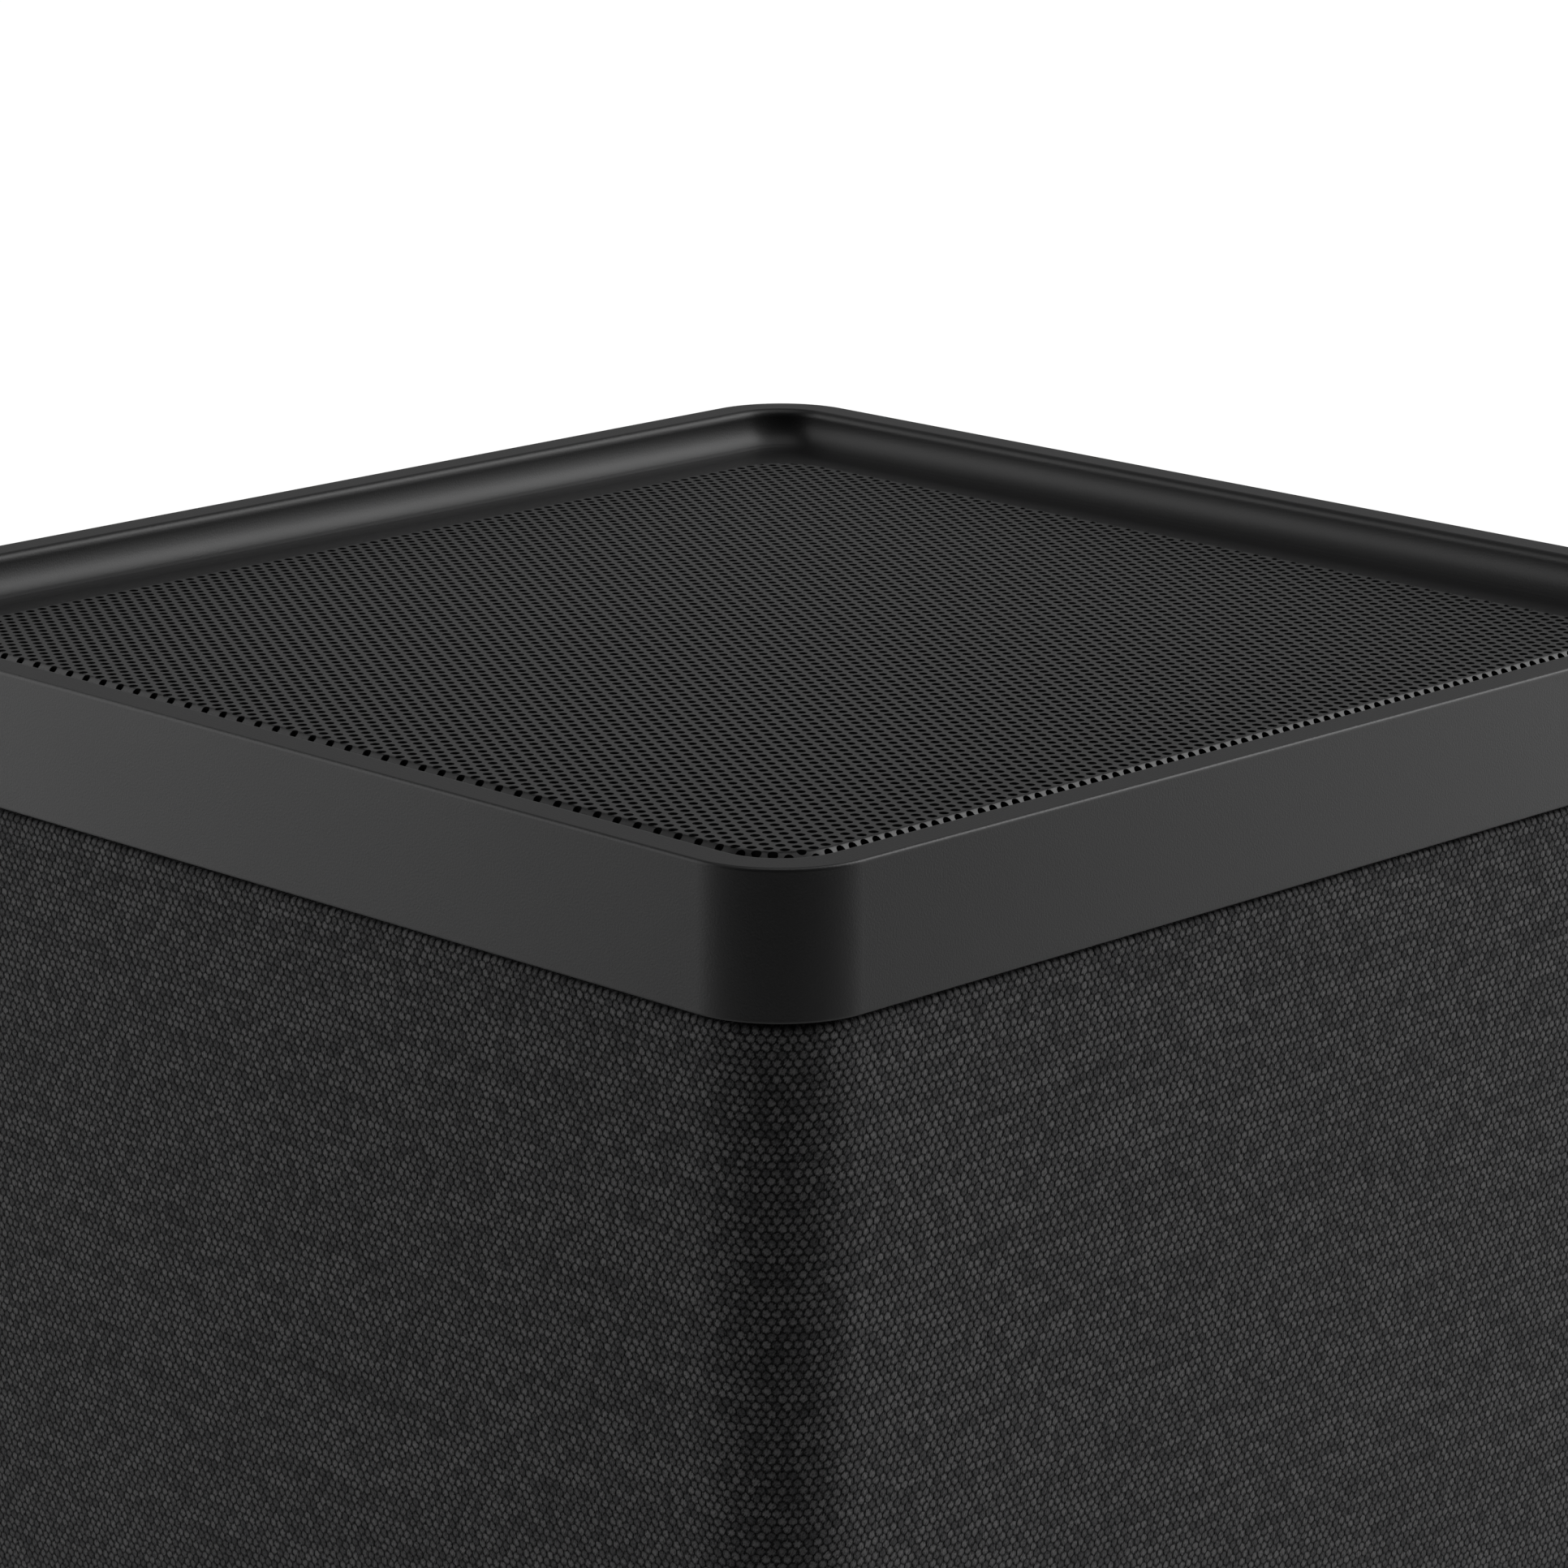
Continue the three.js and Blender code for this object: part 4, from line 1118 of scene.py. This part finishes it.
class WIFI_OT_buttons(bpy.types.Operator):
    """Pairing button and reset pin"""

    bl_idname = "wifi.buttons"
    bl_label = "Buttons"

    def execute(self, context):
        plastic = matt_plastic("button_plastic", (0.055, 0.055, 0.058), 0.42)
        dark = matt_plastic("switch_plastic", (0.018, 0.018, 0.018), 0.5)
        self.add_sync(plastic)
        softened("reset_button", "reset_pin", plastic, edge=0.00012,
                 body="reset_key")
        softened("sync_plunger", "sync_plunger_tip", dark, edge=0.0001,
                 body="sync_key")
        for node in ("sync_switch", "reset_switch"):
            softened(node, f"{node}_body", dark, edge=0.00015)
        return {"FINISHED"}

    def add_sync(self, plastic):
        """A round cap with a dished face, its retaining flange and its stem."""
        low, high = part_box("sync_button")
        place = (middle("sync_button")[0], 0.0, (low.z + high.z) / 2)
        bay_seat = SPINE_LOW.y + 0.0024
        flange, stem = half_width("sync_button"), 0.0018
        flange_front = bay_seat - GAP
        flange_back = flange_front - 0.0009
        cap = flange - 0.001
        edge, dish, rings = 0.00045, 0.00018, 6
        profile = [(0.0, low.y), (stem, low.y), (stem, flange_back),
                   (flange, flange_back), (flange, flange_front), (cap, flange_front)]
        profile += arc((cap - edge, high.y - edge), edge, 5, 0, 1)
        profile += [
            (cap * (1 - share) - edge, high.y - dish * math.sin(share * QUARTER))
            for share in spread(rings, 0, 1)[1:-1]
        ]
        profile.append((0.0, high.y - dish))
        bm = turned(profile, 56, place, "Y")
        add_piece("sync_button_cap", bm, plastic, body="sync_key",
                  nodes=("sync_button",))


# ---------------------------------------------------------------- base

class WIFI_OT_base(bpy.types.Operator):
    """Base band, base plate, feet, screws, label and light guide"""

    bl_idname = "wifi.base"
    bl_label = "Base"

    def execute(self, context):
        s = context.scene.wifi_sizes
        colours = context.scene.wifi_colours
        self.add_band(s, satin_moulding(colours))
        inner = matt_plastic("base_plastic", (0.016, 0.016, 0.0165))
        softened("base_plate", "base_cover", inner, edge=0.00025)
        rubber = soft_rubber("foot_rubber", (0.014, 0.014, 0.014))
        steel = worked_metal("screw_steel", (0.30, 0.30, 0.31), 0.32)
        for number in range(1, 5):
            self.add_foot(f"foot_{number}", rubber)
            self.add_screw(f"base_screw_{number}", steel)
        self.add_label()
        # The light guide's lens has a faint painted glow.
        softened("light_guide", "light_guide_lens", glowing_guide_plastic(), edge=0.0002)
        return {"FINISHED"}

    def add_band(self, s, material):
        """The lower band, with its inner flange, posts for the board and the status light's slot."""
        soft, wall = s.soft_edge, s.band_wall
        low = BASE_LOW.z
        high = low + FRAME_HIGH.z - FRAME_LOW.z
        flange = PLATE_HIGH.z + GAP
        flange_top = flange + 0.002
        reach, reach_corner = 0.024, 0.002
        outside = [*arc((soft, low + soft), soft, 3, -1, -2), *arc((soft, high - soft), soft, 3, 2, 1)]
        levels = [(inset, s.corner - inset, z) for inset, z in outside]
        levels += [
            (wall - soft, s.corner - wall + soft, high),
            (wall, s.corner - wall, high - soft),
            (wall, s.corner - wall, flange_top),
            (reach, reach_corner, flange_top),
            (reach, reach_corner, flange),
            (wall, s.corner - wall, flange),
            (wall, s.corner - wall, low + soft),
            (wall - soft, s.corner - wall + soft, low),
        ]
        bm = lofted_ring(levels, s.corner_steps)
        piece = add_piece("base_band", bm, material, nodes=("base_frame",))
        guide_low, guide_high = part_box("light_guide")
        bar_top = guide_low.z + 0.0016  # the guide's level bar
        before, behind = 0.001, 0.004
        cutter = bmesh.new()
        block(cutter, (guide_low.x - GAP, -HALF - before, guide_low.z - GAP),
              (guide_high.x + GAP, -HALF + behind, bar_top + GAP))
        carve(piece, cutter)
        piece.data.set_sharp_from_angle(angle=math.radians(35))
        self.add_posts(material)

    def add_posts(self, material):
        """The hollow posts that the main board is screwed to."""
        foot = PLATE_HIGH.z + 0.0018
        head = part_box("main_board")[0].z - GAP
        outer, bore = 0.0035, 0.0014
        flare, flare_height, chamfer = 0.0006, 0.0009, 0.0002
        profile = [
            (bore, foot), (outer + flare, foot), (outer, foot + flare_height), (outer, head - chamfer),
            (outer - chamfer, head), (bore, head), (bore, foot),
        ]
        for number in range(1, 5):
            place = (*middle(f"board_screw_{number}"), 0)
            add_piece(f"board_post_{number}", turned(profile, 32, place), material)

    def add_foot(self, node, rubber):
        """A round pad with two grooves in its underside."""
        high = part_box(node)[1]
        radius = half_width(node)
        edge, groove, groove_width = 0.0006, 0.00035, 0.0012
        profile = [(0.0, high.z), (radius, high.z), (radius, edge)]
        profile += arc((radius - edge, edge), edge, 4, 0, -1)[1:]
        for share in (0.66, 0.36):
            corners = (0.5, 0.0), (0.25, groove), (-0.25, groove), (-0.5, 0.0)
            profile += [(radius * share + across * groove_width, up) for across, up in corners]
        profile.append((0.0, 0.0))
        bm = turned(profile, 48, (*middle(node), 0))
        add_piece(f"{node}_pad", bm, rubber, nodes=(node,))

    def add_screw(self, node, steel):
        """A pan head with a recess for a driver, and a plain shank."""
        low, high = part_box(node)
        foot, radius = low.z, half_width(node)
        head, shank, drive, drive_depth = 0.0016, 0.0011, 0.0009, 0.0008
        profile = [
            (0.0, foot + drive_depth), (drive, foot + drive_depth), (drive + 0.0001, foot + 0.00005),
            (radius * 0.72, foot), (radius * 0.93, foot + 0.0003), (radius, foot + head / 2),
            (radius, foot + head), (shank, foot + head), (shank, high.z - 0.001), (0.0, high.z),
        ]
        bm = turned(profile, 24, (*middle(node), 0))
        add_piece(f"{node}_body", bm, steel, nodes=(node,))

    def add_label(self):
        low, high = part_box("rating_label")
        bm = bmesh.new()
        block(bm, low, high)
        thickness = high.z - low.z
        upright = [e for e in bm.edges if abs(e.verts[0].co.z - e.verts[1].co.z) > thickness / 2]
        bevelled(bm, upright, 0.0022, 8)
        lift = GAP - 0.00001  # on to the base plate
        bmesh.ops.translate(bm, verts=bm.verts, vec=(0, 0, lift))
        material = blank_label_film((0.52, 0.52, 0.51))
        add_piece("blank_label", bm, material, nodes=("rating_label",))


# ---------------------------------------------------------------- inside

class WIFI_OT_inside(bpy.types.Operator):
    """Finishes of the pieces inside the tower, which keep their CAD shapes"""

    bl_idname = "wifi.inside"
    bl_label = "Inside"

    def execute(self, context):
        inner = matt_plastic("inner_plastic", tuple(context.scene.wifi_colours.inner))
        finishes = {
            "core_black": inner,
            "satin_black": inner,
            "steel": worked_metal("inner_screw_steel", (0.42, 0.42, 0.43), 0.3),
            "tin_plate": worked_metal("tin_plate", (0.60, 0.61, 0.62), 0.3, (1.0, 12.0, 1.0)),
            "aluminium": worked_metal("extruded_aluminium", (0.55, 0.56, 0.57), 0.36, (12.0, 1.0, 1.0)),
            "board_green": solder_mask("board_lacquer", (0.012, 0.075, 0.036)),
            "aerial_green": solder_mask("aerial_lacquer", (0.016, 0.095, 0.050)),
            "thermal_grey": soft_rubber("thermal_putty", (0.22, 0.25, 0.28)),
            "cable_black": soft_rubber("cable_jacket", (0.012, 0.012, 0.012)),
            "led_white": matt_plastic("led_lens", (0.72, 0.68, 0.52), 0.3),
        }
        for entry in frame["record"]["subparts"]:
            node = frame["nodes"][entry["node"]]
            if node.hide_render:
                continue
            for holder in node.material_slots:
                holder.material = finishes[entry["material_slot"]]
        return {"FINISHED"}


class WIFI_PT_panel(bpy.types.Panel):
    """Lists the steps that build the node"""

    bl_idname = "WIFI_PT_panel"
    bl_label = "Wifi node"
    bl_space_type = "VIEW_3D"
    bl_region_type = "UI"
    bl_category = "Wifi Node"

    def draw(self, context):
        for step in STEPS:
            self.layout.operator(step.bl_idname)
        for group in (context.scene.wifi_sizes, context.scene.wifi_colours, context.scene.wifi_studio):
            for name in group.__annotations__:
                self.layout.prop(group, name)


STEPS = (
    WIFI_OT_stage,
    WIFI_OT_top_frame,
    WIFI_OT_grille,
    WIFI_OT_cloth,
    WIFI_OT_spine,
    WIFI_OT_sockets,
    WIFI_OT_buttons,
    WIFI_OT_base,
    WIFI_OT_inside,
)
GROUPS = (WifiNodeSizes, WifiNodeColours, WifiNodeStudio)


def register():
    for kind in (*GROUPS, *STEPS, WIFI_PT_panel):
        bpy.utils.register_class(kind)
    bpy.types.Scene.wifi_sizes = PointerProperty(type=WifiNodeSizes)
    bpy.types.Scene.wifi_colours = PointerProperty(type=WifiNodeColours)
    bpy.types.Scene.wifi_studio = PointerProperty(type=WifiNodeStudio)


def unregister():
    for name in ("wifi_sizes", "wifi_colours", "wifi_studio"):
        delattr(bpy.types.Scene, name)
    for kind in reversed((*GROUPS, *STEPS, WIFI_PT_panel)):
        bpy.utils.unregister_class(kind)


def main():
    register()
    bpy.ops.wifi.stage()
    bpy.ops.wifi.top_frame()
    bpy.ops.wifi.grille()
    bpy.ops.wifi.cloth()
    bpy.ops.wifi.spine()
    bpy.ops.wifi.sockets()
    bpy.ops.wifi.buttons()
    bpy.ops.wifi.base()
    bpy.ops.wifi.inside()


if __name__ == "__main__":
    main()
